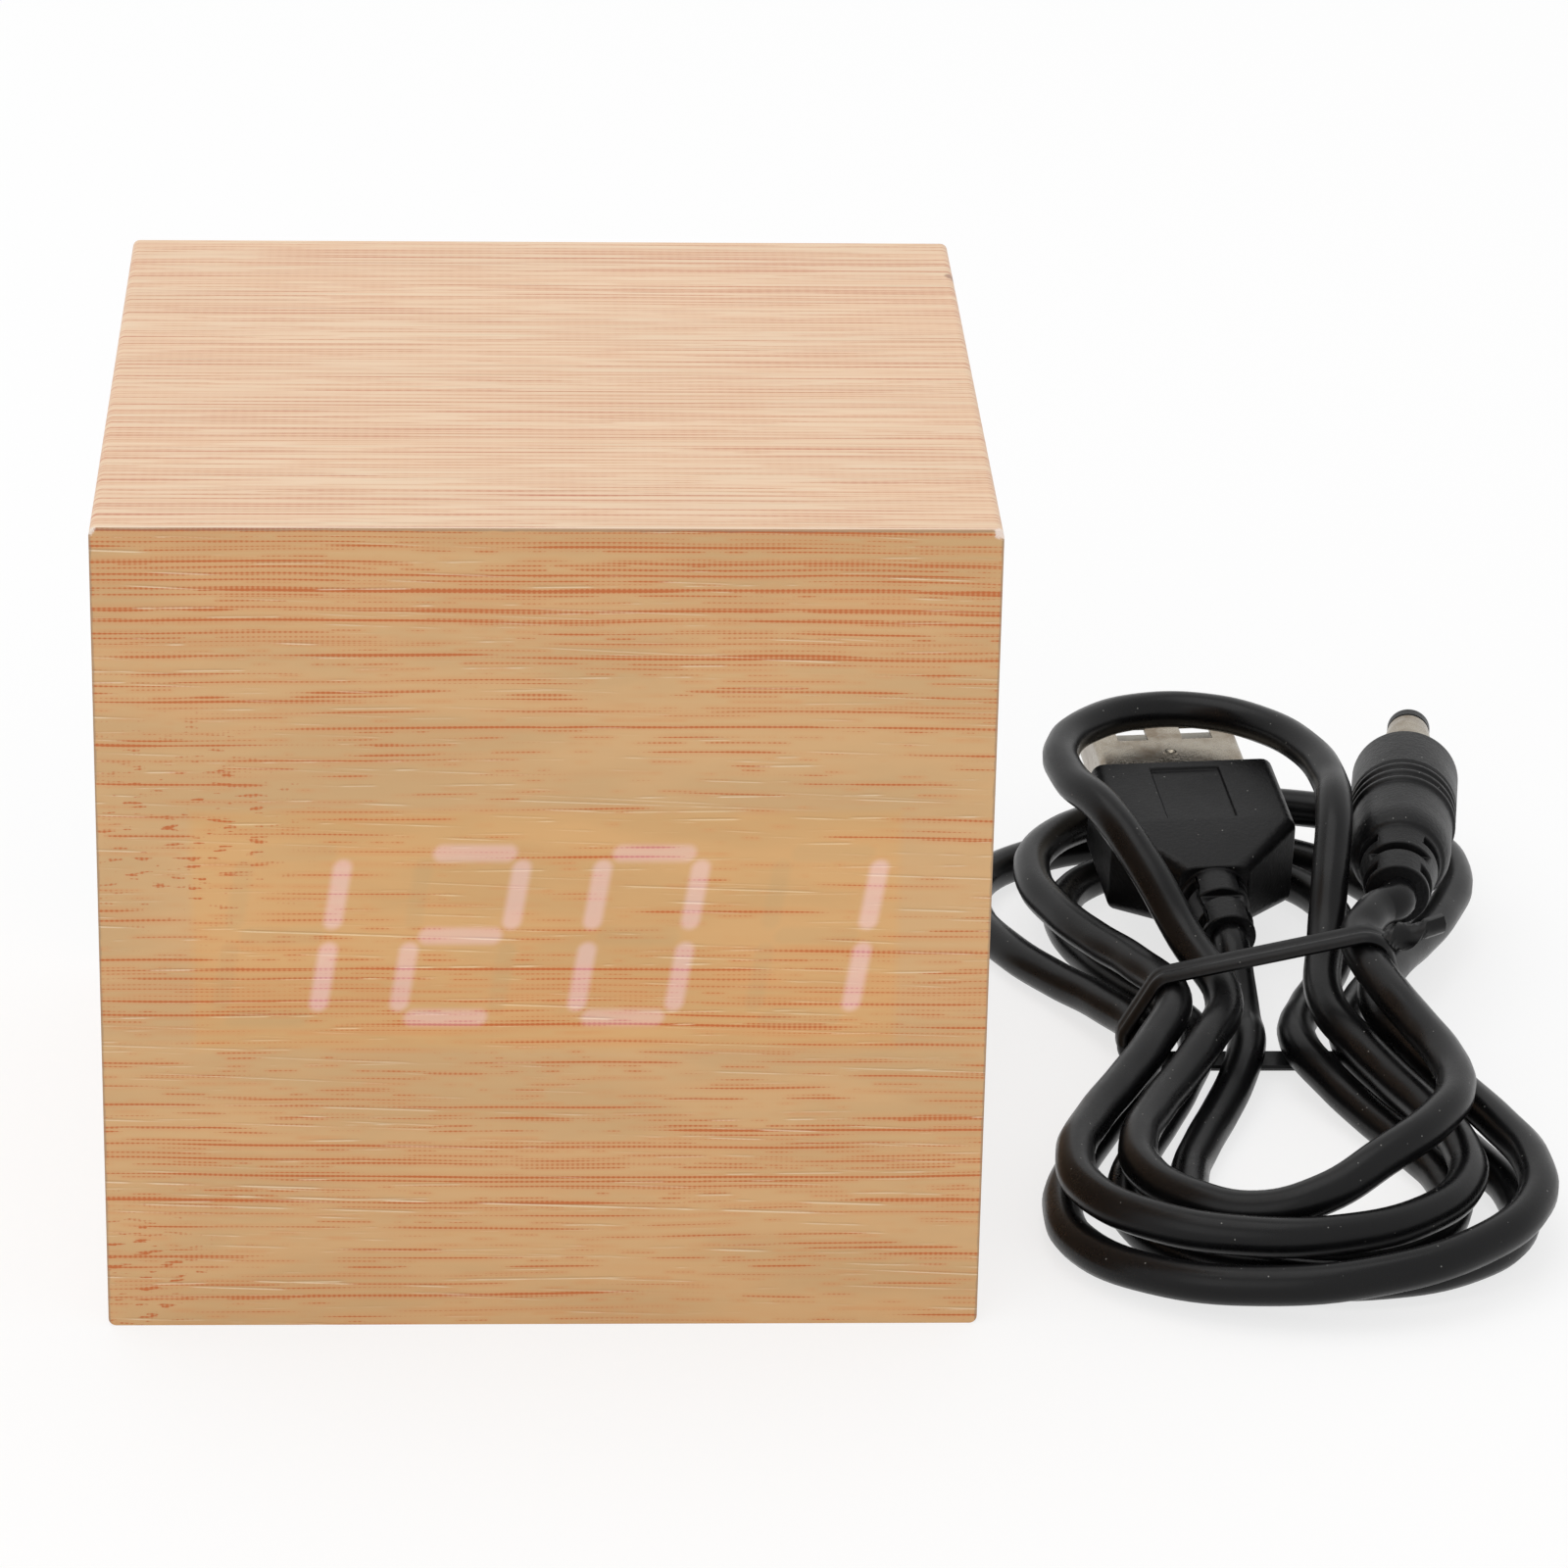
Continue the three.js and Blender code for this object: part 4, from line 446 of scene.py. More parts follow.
def wearOff(place, colour):
    rough = noise(place, *wornEdge["noise"])
    for spot in wornSpots:
        away = less(distance(place, spot["at"]), wornEdge["ragged"] / 2)
        away = scaled(rough, wornEdge["ragged"], away)
        gone = spanTo(away, spot["reach"] + wornEdge["outer"], spot["reach"] - wornEdge["inner"])
        colour = mix(gone, colour, spot["colour"])
    return colour


frontFilm = {"glow": paint(98, 96, 128), "glowShift": (-0.25, 0.0, 0.35), "unlit": 0.1,
             "unlitTint": paint(150, 150, 118), "window": (24.0, 8.6), "windowSoft": 1.0, "windowShare": 0.6,
             "windowTint": (1.09, 0.99, 0.8, 1), "knots": ((-25.0, 39.0, 13.0), (-29.0, 4.0, 9.0)),
             "knotCore": 2.0, "worn": paint(136, 116, 100), "wornNoise": (0.9, 4.0), "wornReach": 0.24,
             "wornShown": (0.08, -0.02), "wornShare": 0.5, "roughness": (0.52, 0.34), "bump": 0.55}
# How thick the streaks stand, from the foot of the front to its top
frontBands = [(0.0, 0.6), (0.12, 0.55), (0.21, 0.9), (0.26, 0.6), (0.36, 0.6), (0.44, 1.0), (0.5, 0.45),
              (0.66, 0.3), (0.76, 0.6), (0.9, 0.95)]


def makeFrontFilm():
    front = frontFilm
    values = {"Specular IOR Level": 0.35, "Emission Strength": 1.0}
    material, shader, place = newMaterial("front film", values)
    x, _, z = splitAxes(place)
    sideways = sizeOf(x)
    knot = 0.0
    for knotX, knotZ, reach in front["knots"]:
        away = distance(joinAxes(x, z), (knotX, knotZ, 0))
        knot = larger(knot, spanTo(away, reach, front["knotCore"]))
    density = ramp(over(z, caseBody["high"]), frontBands)
    film = useGroup(filmGroup, {"Along": x, "Across": z, "Density": density, "Knots": knot})
    glow = useGroup(glowGroup, {"Place": vectorCalc("ADD", place, front["glowShift"])})
    wide, high = front["window"]
    above = less(sizeOf(less(z, digits["z"])), high)
    outside = larger(less(sideways, wide), above)
    window = times(spanTo(outside, front["windowSoft"], 0.0), front["windowShare"])
    tinted = mix(1.0, film["Colour"], front["windowTint"], "MULTIPLY")
    colour = mix(window, film["Colour"], tinted)
    colour = mix(times(glow["Unlit"], front["unlit"]), colour, front["unlitTint"])
    inset = smaller(less(caseBody["wide"] / 2, sideways), less(caseBody["high"], z))
    reach = times(noise(place, *front["wornNoise"]), front["wornReach"])
    worn = times(spanTo(less(inset, reach), *front["wornShown"]), front["wornShare"])
    colour = wearOff(place, mix(worn, colour, front["worn"]))
    dress(shader, colour, spanTo(film["Pores"], 0, 1, *front["roughness"]), film["Height"], front["bump"])
    feed(shader, {"Emission Color": mix(glow["Lit"], (0, 0, 0, 1), front["glow"])})
    return material


# The case's film is painted paler all over, a painted sheen standing in for the light on its top
caseFilm = {"pale": 0.62, "density": 0.8, "fineness": 1.3, "stretch": 0.5, "seed": 120.0,
            "fold": paint(246, 230, 210), "foldShown": (0.3, 0.12), "foldShare": 0.4, "filmDeep": 0.32,
            "board": paint(150, 112, 74), "boardDark": paint(112, 80, 50), "fibreStretch": (3.0, 1.2, 3.0),
            "fibreNoise": (1.0, 6.0, 0.7), "fibreShown": (0.3, 0.7), "fibreDepth": 2.0,
            "roughness": (0.42, 0.9), "bump": 0.4}


def makeCaseFilm():
    case = caseFilm
    material, shader, place = newMaterial("case film", {"IOR": 1.6})
    x, y, z = splitAxes(place)
    halfWide, halfHigh = caseBody["wide"] / 2, caseBody["high"] / 2
    sideways = less(halfWide, sizeOf(x))
    upward = less(halfHigh, sizeOf(less(z, halfHigh)))
    onSide = below(sideways, upward)
    downSide = times(less(caseBody["high"] + halfWide, z), signOf(x))
    along = times(pick(onSide, x, downSide), case["stretch"])
    across = times(plus(y, case["seed"]), case["fineness"])
    # Painted sheen: the print is washed paler on the case
    film = useGroup(filmGroup, {"Along": along, "Across": across, "Density": case["density"],
                                "Pale": case["pale"]})
    fold = times(spanTo(less(y, caseBody["front"]), *case["foldShown"]), case["foldShare"])
    outside = wearOff(place, mix(fold, film["Colour"], case["fold"]))
    deep = beyond(smaller(sideways, upward), case["filmDeep"])
    fibres = noise(vectorCalc("MULTIPLY", place, case["fibreStretch"]), *case["fibreNoise"])
    board = mix(spanTo(fibres, *case["fibreShown"]), case["boardDark"], case["board"])
    height = pick(deep, film["Height"], times(fibres, case["fibreDepth"]))
    colour, rough = mix(deep, outside, board), spanTo(deep, 0, 1, *case["roughness"])
    dress(shader, colour, rough, height, case["bump"])
    return material


# Moulded surfaces: a fine spark texture, with a little dust where the photograph shows it
mouldForm = {"sparkNoise": (3.0, 0.6), "cloudNoise": (0.25, 3.0, 0.55), "lighter": (1.5, 1.5, 1.5, 1),
             "cloudShare": 0.5, "cloudRoughness": 0.25, "sparkRoughness": 0.12, "speckSpread": 0.9,
             "speckShown": (0.07, 0.03), "speck": (0.5, 0.5, 0.48, 1)}


def makeMouldGroup():
    form = mouldForm
    tree, take, give = newGroup("moulded surface", "Place Grain Colour Dust Shine", "Colour Roughness Height")
    spark = noise(take["Place"], take["Grain"], *form["sparkNoise"])
    cloud = noise(take["Place"], *form["cloudNoise"])
    specks = addNode("TexVoronoi", {"Vector": take["Place"], "Scale": form["speckSpread"]})
    speck = times(spanTo(specks.outputs["Distance"], *form["speckShown"]), take["Dust"])
    lighter = mix(1.0, take["Colour"], form["lighter"], "MULTIPLY")
    tone = mix(times(cloud, form["cloudShare"]), take["Colour"], lighter)
    rough = scaled(less(cloud, 0.5), form["cloudRoughness"], take["Shine"])
    feed(give, {"Colour": mix(speck, tone, form["speck"]), "Height": spark,
                "Roughness": scaled(spark, form["sparkRoughness"], rough)})
    return tree


# Plated and drawn metal: fine scratches at three angles and slow tarnish
metalForm = {"scratchTurns": ((0.35, 3.0), (-0.8, 9.0), (1.4, 14.0)), "scratchStretch": (0.25, 6.0, 1.0),
             "scratchHalf": 0.012, "scratch": (0.85, 0.83, 0.8, 1), "scratchShare": 0.25,
             "scratchRoughness": 0.2, "cloudNoise": (0.35, 4.0, 0.6), "cloudRoughness": 0.15,
             "tarnishShown": (0.35, 0.75)}


def makeMetalGroup():
    form = metalForm
    tree, take, give = newGroup("plated metal", "Place Colour Tarnish Wear Shine", "Colour Roughness Height")
    scratches = 0.0
    for angle, seed in form["scratchTurns"]:
        turned = addNode("VectorRotate", {"Vector": take["Place"], "Angle": angle}, rotation_type="Z_AXIS")
        moved = vectorCalc("ADD", turned.outputs[0], (seed, seed, seed))
        field = noise(vectorCalc("MULTIPLY", moved, form["scratchStretch"]), 1.0, 1.0)
        away = sizeOf(less(field, 0.5))
        scratches = larger(scratches, spanTo(away, 0.0, form["scratchHalf"], 1.0, 0.0))
    cloud = noise(take["Place"], *form["cloudNoise"])
    scratched = times(scratches, take["Wear"])
    tone = mix(spanTo(cloud, *form["tarnishShown"]), take["Colour"], take["Tarnish"])
    rough = scaled(cloud, form["cloudRoughness"], take["Shine"])
    bright = times(scratched, form["scratchShare"])
    feed(give, {"Colour": mix(bright, tone, form["scratch"]), "Height": times(scratched, -1.0),
                "Roughness": scaled(scratched, form["scratchRoughness"], rough)})
    return tree


mouldGroup, metalGroup = makeMouldGroup(), makeMetalGroup()


def surfaced(name, values, group, settings, bump):
    material, shader, place = newMaterial(name, values)
    surface = useGroup(group, settings | {"Place": place})
    dress(shader, surface["Colour"], surface["Roughness"], surface["Height"], bump)
    return material


def moulded(name, colour, grain=6.0, shine=0.45, dust=0.0, bump=0.25, **values):
    settings = {"Grain": grain, "Colour": colour, "Dust": dust, "Shine": shine}
    return surfaced(name, values, mouldGroup, settings, bump)


def plated(name, colour, tarnish, wear=0.5, shine=0.25, bump=0.2):
    settings = {"Colour": colour, "Tarnish": tarnish, "Wear": wear, "Shine": shine}
    return surfaced(name, {"Metallic": 1.0}, metalGroup, settings, bump)


plainFibres = (1.0, 6.0, 0.65, 0.4)  # scale, detail, roughness and distortion


def fibrous(name, dark, pale, stretch):
    material, shader, place = newMaterial(name, {"Roughness": 0.85})
    fibres = noise(vectorCalc("MULTIPLY", place, stretch), *plainFibres)
    tone = mix(spanTo(fibres, *caseFilm["fibreShown"]), dark, pale)
    feed(shader, {"Base Color": tone, "Normal": bumpFrom(fibres, caseFilm["bump"])})
    return material


boardMask = {"bare": paint(24, 92, 48), "track": paint(40, 122, 66), "weave": paint(70, 140, 90),
             "trackScale": 0.45, "tracks": 4.0, "trackShown": (0.2, 0.16), "weaveRate": 9.0,
             "weaveShare": 0.1, "roughness": (0.5, 0.38), "bump": 0.3}


def makeBoardMask():
    mask = boardMask
    material, shader, place = newMaterial("circuit board", {"Coat Weight": 0.3, "Coat Roughness": 0.2})
    x, _, z = splitAxes(place)
    cells = addNode("TexVoronoi", {"Vector": joinAxes(x, z), "Scale": mask["trackScale"]},
                    voronoi_dimensions="2D", distance="MANHATTAN", feature="F1")
    line = partOf(times(cells.outputs["Distance"], mask["tracks"]))
    copper = spanTo(sizeOf(less(line, 0.5)), *mask["trackShown"])
    wefts, warps = (sineOf(times(axis, mask["weaveRate"])) for axis in (x, z))
    weave = scaled(times(wefts, warps), mask["weaveShare"], mask["weaveShare"])
    green = mix(copper, mask["bare"], mask["track"])
    colour, rough = mix(weave, green, mask["weave"]), spanTo(copper, 0, 1, *mask["roughness"])
    dress(shader, colour, rough, copper, mask["bump"])
    return material


resin = {"cloudNoise": (0.8, 3.0), "dull": paint(214, 212, 200), "clear": paint(232, 229, 220),
         "glow": paint(255, 232, 224), "cloudShown": (0.3, 0.7), "roughness": (0.3, 0.42)}


def makeResin():
    material, shader, place = newMaterial("display resin", {"Emission Strength": 1.0})
    glow = useGroup(glowGroup, {"Place": place})
    cloud = noise(place, *resin["cloudNoise"])
    feed(shader, {"Base Color": mix(cloud, resin["dull"], resin["clear"]),
                  "Emission Color": mix(glow["Lit"], (0, 0, 0, 1), resin["glow"]),
                  "Roughness": spanTo(cloud, *resin["cloudShown"], *resin["roughness"])})
    return material


black = paint(24, 24, 25)
jetBlack = paint(11, 11, 12)
satin = {"Specular IOR Level": 0.2}
finishes = {
    "wood_film": makeFrontFilm(),
    "fibreboard": fibrous("fibreboard", caseFilm["boardDark"], caseFilm["board"], (2.0, 2.0, 2.0)),
    "timber": fibrous("timber", paint(170, 128, 82), paint(214, 178, 128), (0.4, 3.0, 3.0)),
    "black_moulding": moulded("black moulding", black, 9.0, 0.5, 0.4),
    "switch_plastic": moulded("switch plastic", paint(30, 30, 31), 5.0, 0.45),
    "plunger_plastic": moulded("plunger plastic", paint(150, 152, 154), 5.0, 0.4),
    "display_housing": moulded("display housing", paint(140, 142, 143), 5.0, 0.5),
    "display_resin": makeResin(),
    "plug_plastic": moulded("plug plastic", paint(226, 222, 210), 5.0, 0.4),
    "circuit_board": makeBoardMask(),
    "screw_steel": plated("screw steel", paint(178, 180, 182), paint(150, 152, 152), 0.6, 0.28),
    "plated_contact": plated("plated contact", paint(204, 200, 188), paint(168, 160, 140), 0.4, 0.2),
    "plug_metal": plated("plug metal", paint(164, 156, 142), paint(118, 102, 82), 0.8, 0.2),
    "ribbon_insulation": moulded("ribbon insulation", paint(150, 152, 155), 4.0, 0.5),
    "wire_red": moulded("red wire", paint(172, 26, 24), 4.0, 0.4),
    "wire_black": moulded("black wire", black, 4.0, 0.4),
    "cord_jacket": moulded("cord jacket", jetBlack, 2.5, 0.24, 0.4, 0.1, **satin),
    "plug_overmould": moulded("plug overmould", jetBlack, 3.2, 0.34, 0.5, 0.9, **satin),
    "tie_plastic": moulded("tie plastic", jetBlack, 3.0, 0.3, 0.3, 0.15, **satin),
}
caseMaterial = makeCaseFilm()
print("finishes made:", len(finishes))


# Solid building, in millimetres
def blockBetween(shape, low, high):
    made = ops.create_cube(shape, size=1)["verts"]
    ops.scale(shape, vec=[h - l for l, h in zip(low, high)], verts=made)
    ops.translate(shape, vec=[(h + l) / 2 for l, h in zip(low, high)], verts=made)
    return made


def weld(shape):
    ops.remove_doubles(shape, verts=shape.verts, dist=0.001)


def spinProfile(profile, steps=64):
    shape = bmesh.new()
    line = [shape.verts.new((radius, y, 0)) for radius, y in profile]
    edges = [shape.edges.new(pair) for pair in zip(line, line[1:])]
    ops.spin(shape, geom=line + edges, axis=(0, 1, 0), cent=(0, 0, 0), steps=steps, angle=2 * pi,
             use_merge=True)
    weld(shape)
    ops.recalc_face_normals(shape, faces=shape.faces)
    return shape


def bevelLengthwise(shape, offset):
    lengthwise = [edge for edge in shape.edges if edge.verts[0].co.y != edge.verts[1].co.y]
    ops.bevel(shape, geom=lengthwise, offset=offset, affect="EDGES", segments=5, profile=0.5, material=-1)


def asObject(shape, name, place=Matrix()):
    ops.transform(shape, matrix=place, verts=shape.verts)
    mesh = bpy.data.meshes.new(name)
    shape.to_mesh(mesh)
    shape.free()
    return newObject(name, mesh)


def settle(thing):
    bpy.context.view_layer.update()
    mesh = bpy.data.meshes.new_from_object(thing.evaluated_get(bpy.context.evaluated_depsgraph_get()))
    thing.modifiers.clear()
    thing.data = mesh


def carve(thing, tool, operation="DIFFERENCE"):
    step = thing.modifiers.new("carve", "BOOLEAN")
    step.object, step.operation, step.solver = tool, operation, "EXACT"
    settle(thing)
    bpy.data.objects.remove(tool)


def carveBlocks(thing, *blocks):
    tool = bmesh.new()
    for low, high in blocks:
        blockBetween(tool, low, high)
    carve(thing, asObject(tool, "tool"))


def roundEdges(thing, width, segments=3, angle=32):
    step = thing.modifiers.new("round", "BEVEL")
    step.width, step.segments = width, segments
    step.limit_method, step.angle_limit = "ANGLE", radians(angle)
    step.use_clamp_overlap = False
    thing.modifiers.new("flat faces", "WEIGHTED_NORMAL")
    thing.data.shade_smooth()
    settle(thing)


def smoothFaces(thing, angle=50):
    thing.data.shade_smooth()
    thing.data.set_sharp_from_angle(angle=radians(angle))


def finishPiece(thing, slot, replaced, place=Matrix(), body="clock", material=None):
    thing.data.transform(toMetres @ place)
    thing.data.materials.clear()
    thing.data.materials.append(material or finishes[slot])
    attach(thing, body)
    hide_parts(*replaced)
    return thing


chargingCord.data.materials.append(finishes["cord_jacket"])
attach(chargingCord, "clock")
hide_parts("lead_hank", "lead_tail_flat", "lead_tail_barrel")


# Slots of the moulded strain reliefs, in crossed rows
reliefSlots = {"rows": 3, "inner": 1.68, "width": 1.05, "heightShare": 0.78, "overrun": 1}


def reliefCutter(length, radius):
    slot = reliefSlots
    half, reach = slot["width"] / 2, radius * slot["heightShare"]
    shape = bmesh.new()
    for row in range(slot["rows"]):
        y = (row + 0.5) * length / slot["rows"]
        for side in (-1, 1):
            low, high = sorted((side * slot["inner"], side * (radius + slot["overrun"])))
            made = blockBetween(shape, (low, y - half, -reach), (high, y + half, reach))
            if row % 2:
                ops.rotate(shape, verts=made, cent=(0, y, 0), matrix=Matrix.Rotation(pi / 2, 3, "Y"))
    return asObject(shape, "slots")


# Barrel plug, along Y from the cord: overmould, plated sleeve with a bead near its end, black tip
barrelBody = {"relief": 6.2, "thin": 2.5, "thick": 3.3, "shoulder": 2.6, "shoulderSteps": 4, "radius": 4.3,
              "length": 14.2, "rings": (13.6, 14.9, 16.2), "ringRise": 0.25, "ringFoot": 0.42, "ringTop": 0.2,
              "collar": 0.85, "edge": 0.15, "seat": 3.0, "seatGap": 0.12, "rim": 0.12}
barrelMetal = {"radius": 1.75, "bore": 1.15, "length": 9.3, "rim": 0.05,
               "bead": [(0, 2.6), (0.09, 1.9), (0.09, 1.1), (-0.03, 0.7), (0, 0.1), (-0.08, 0)]}
barrelTip = {"depth": 1.2, "bore": 0.68, "neck": 1.03, "gap": 0.12, "rim": 0.08}


def barrelProfile(end, seat):
    plug = barrelBody
    wide, low = plug["radius"], plug["radius"] - plug["ringRise"]
    profile = [(0, 0), (plug["thin"], 0), (plug["thick"], plug["relief"])]
    for step in range(1, plug["shoulderSteps"] + 1):
        angle = step * pi / 2 / plug["shoulderSteps"]
        profile.append((plug["thick"] + (low - plug["thick"]) * sin(angle),
                        plug["relief"] + plug["shoulder"] * (1 - cos(angle))))
    for ring in plug["rings"]:
        profile += [(low, ring - plug["ringFoot"]), (wide, ring - plug["ringTop"]),
                    (wide, ring + plug["ringTop"]), (low, ring + plug["ringFoot"])]
    hole = barrelMetal["radius"] + plug["seatGap"]
    return profile + [(wide, plug["rings"][-1] + plug["collar"]), (wide, end - plug["edge"]),
                      (wide - plug["edge"], end), (hole, end), (hole, seat), (0, seat)]


def makeBarrelPlug():
    plug, metal, cap = barrelBody, barrelMetal, barrelTip
    end = plug["relief"] + plug["shoulder"] + plug["length"]
    seat = end - plug["seat"]
    body = asObject(spinProfile(barrelProfile(end, seat), steps=72), "barrel_plug_overmould")
    carve(body, reliefCutter(plug["relief"], plug["thick"]))
    roundEdges(body, plug["rim"])
    last = end + metal["length"]
    outline = [(metal["bore"], seat), (metal["radius"], seat)]
    outline += [(metal["radius"] + rise, last - back) for rise, back in metal["bead"]]
    outline += [(metal["bore"], last), (metal["bore"], seat)]
    sleeve = asObject(spinProfile(outline), "barrel_plug_plated_sleeve")
    roundEdges(sleeve, metal["rim"], 2)
    rear, joint, front = last - cap["depth"], last + cap["gap"], last + cap["depth"]
    outline = [(cap["bore"], rear), (cap["neck"], rear), (cap["neck"], joint), (metal["radius"], joint),
               (metal["radius"], front), (cap["bore"], front), (cap["bore"], rear)]
    tip = asObject(spinProfile(outline), "barrel_plug_black_tip")
    roundEdges(tip, cap["rim"])
    place = leadPlace @ plugTurn(barrelPlug)
    return [finishPiece(body, "plug_overmould", ["barrel_plug_body"], place),
            finishPiece(sleeve, "plug_metal", ["barrel_plug_sleeve"], place),
            finishPiece(tip, "plug_overmould", ["barrel_plug_tip"], place)]


# Flat plug, along Y from the cord: overmould with a tapered neck, folded shell, inner tongue with contacts
flatBody = {"relief": 6.4, "thin": 2.2, "thick": 2.7, "reliefOverlap": 0.6, "neck": 5.0, "neckHalf": 2.85,
            "wide": 15.0, "high": 8.0, "length": 9.8, "corner": 1.0, "recess": (5.6, 8.0, 0.3), "seat": 2.0,
            "seatGap": 0.1, "overrun": 1, "rim": 0.16}
flatShell = {"wide": 12.0, "high": 4.5, "length": 12.0, "wall": 0.35, "corner": 0.55,
             "windows": (2.7, 2.5, 2.2), "windowInset": 3.2, "windowReach": 5, "seam": 0.03,
             "seamAt": (-5, -7), "seamLength": 11, "dimple": 0.75, "dimpleInset": 7.6, "dimpleLift": 0.5,
             "rim": 0.05}
flatTongue = {"half": 5.45, "thick": 1.9, "gap": 0.12, "inset": 0.8, "pads": 4, "padPitch": 2.72,
              "padHalf": 0.55, "padSpan": (9.1, 1.6), "padHeight": (1.78, 2.02), "rim": 0.06}


def makeFlatBody(neckEnd, end):
    plug = flatBody
    halfWide, halfHigh = plug["wide"] / 2, plug["high"] / 2
    shape = bmesh.new()
    blockBetween(shape, (-halfWide, neckEnd, -halfHigh), (halfWide, end, halfHigh))
    shape.faces.ensure_lookup_table()
    rear = min(shape.faces, key=lambda face: face.calc_center_median().y)
    grown = ops.extrude_face_region(shape, geom=[rear])["geom"]
    corners = [part for part in grown if isinstance(part, bmesh.types.BMVert)]
    ops.delete(shape, geom=[rear], context="FACES")
    ops.translate(shape, verts=corners, vec=(0, -plug["neck"], 0))
    taper = (2 * plug["neckHalf"] / plug["wide"], 1, 2 * plug["neckHalf"] / plug["high"])
    ops.scale(shape, verts=corners, vec=taper)
    bevelLengthwise(shape, plug["corner"])
    body = asObject(shape, "flat_plug_overmould")
    foot = plug["relief"] + plug["reliefOverlap"]
    relief = spinProfile([(0, 0), (plug["thin"], 0), (plug["thick"], plug["relief"]), (plug["thick"], foot),
                          (0, foot)], steps=56)
    carve(body, asObject(relief, "relief"), "UNION")
    carve(body, reliefCutter(plug["relief"], plug["thick"]))
    wide, long, deep = plug["recess"]
    edge = end - plug["corner"]
    carveBlocks(body, ((-wide / 2, edge - long, halfHigh - deep), (wide / 2, edge, plug["high"])))
    x, z = flatShell["wide"] / 2 + plug["seatGap"], flatShell["high"] / 2 + plug["seatGap"]
    carveBlocks(body, ((-x, end - plug["seat"], -z), (x, end + plug["overrun"], z)))
    roundEdges(body, plug["rim"])
    return body


def makeFlatShell(seat, front):
    shell = flatShell
    x, z, reach = shell["wide"] / 2, shell["high"] / 2, shell["windowReach"]
    shape = bmesh.new()
    blockBetween(shape, (-x, seat, -z), (x, front, z))
    ends = [face for face in shape.faces if abs(face.normal.y) > 0.9]
    ops.delete(shape, geom=ends, context="FACES_ONLY")
    bevelLengthwise(shape, shell["corner"])
    ops.solidify(shape, geom=shape.faces[:], thickness=shell["wall"])
    ops.recalc_face_normals(shape, faces=shape.faces)
    case = asObject(shape, "flat_plug_plated_shell")
    apart, long, wide = shell["windows"]
    near = front - shell["windowInset"]
    windows = [((side * apart - long / 2, near - wide, -reach), (side * apart + long / 2, near, reach))
               for side in (-1, 1)]
    inside, outside = shell["seamAt"]
    seam = ((inside, front - shell["seamLength"], -shell["seam"]),
            (outside, front + flatBody["overrun"], shell["seam"]))
    carveBlocks(case, *windows, seam)
    dimple = bmesh.new()
    ops.create_uvsphere(dimple, u_segments=24, v_segments=12, radius=shell["dimple"])
    ops.translate(dimple, verts=dimple.verts, vec=(0, front - shell["dimpleInset"], z + shell["dimpleLift"]))
    carve(case, asObject(dimple, "dimple"))
    roundEdges(case, shell["rim"], 2)
    return case


def makeFlatTongue(seat, front):
    tongue = flatTongue
    floor = -flatShell["high"] / 2 + flatShell["wall"] + tongue["gap"]
    half, padHalf = tongue["half"], tongue["padHalf"]
    far, near = (front - inset for inset in tongue["padSpan"])
    low, high = (floor + height for height in tongue["padHeight"])
    shape = bmesh.new()
    blockBetween(shape, (-half, seat, floor), (half, front - tongue["inset"], floor + tongue["thick"]))
    for pad in range(tongue["pads"]):
        middle = (pad - (tongue["pads"] - 1) / 2) * tongue["padPitch"]
        blockBetween(shape, (middle - padHalf, far, low), (middle + padHalf, near, high))
    thing = asObject(shape, "flat_plug_inner_tongue")
    roundEdges(thing, tongue["rim"], 2)
    return thing


def makeFlatPlug():
    neckEnd = flatBody["relief"] + flatBody["neck"]
    end = neckEnd + flatBody["length"]
    seat, front = end - flatBody["seat"], end + flatShell["length"]
    place = leadPlace @ plugTurn(flatPlug)
    return [finishPiece(makeFlatBody(neckEnd, end), "plug_overmould", ["flat_plug_body"], place),
            finishPiece(makeFlatShell(seat, front), "plug_metal", ["flat_plug_shell"], place),
            finishPiece(makeFlatTongue(seat, front), "plug_plastic", ["flat_plug_tongue"], place)]


# Wire tie drawn tight round the waist: a ribbon with two ridges, whose twisted ends stand out at the right
tie = {"gap": 0.08, "steps": 96, "slope": 0.09, "tailFrom": 38, "tailRise": 12, "tailSwing": 0.3,
       "tailLength": 5.2, "tailSteps": 14, "tailTwist": 230, "tailTwistRate": 1.4, "tailHalf": (1.15, 0.7),
       "rightSide": [(0.0, 0.5), (0.28, 0.6), (0.75, 0.72), (1.2, 0.5), (1.35, 0.22), (1.25, 0.0)]}


def sweepAlong(shape, edges, places):
    for near, far in zip(places, places[1:]):
        grown = ops.extrude_edge_only(shape, edges=edges)["geom"]
        edges = [part for part in grown if isinstance(part, bmesh.types.BMEdge) and part.is_boundary]
        corners = [part for part in grown if isinstance(part, bmesh.types.BMVert)]
        ops.transform(shape, matrix=far @ near.inverted(), verts=corners)


def tiePlace(angle, runs, reach):
    out = Vector((cos(angle), 0, sin(angle)))
    run = max(runs, key=lambda at: at.dot(out))
    base = Vector((run.x, 0, run.z)) + out * reach
    middleX = sum(at.x for at in runs) / len(runs)
    base.y = -tie["slope"] * (base.x - middleX) * max(0, out.z)
    across = Vector((0, 1, 0))
    return Matrix.Translation(base) @ turnTo(across, out, across.cross(out))


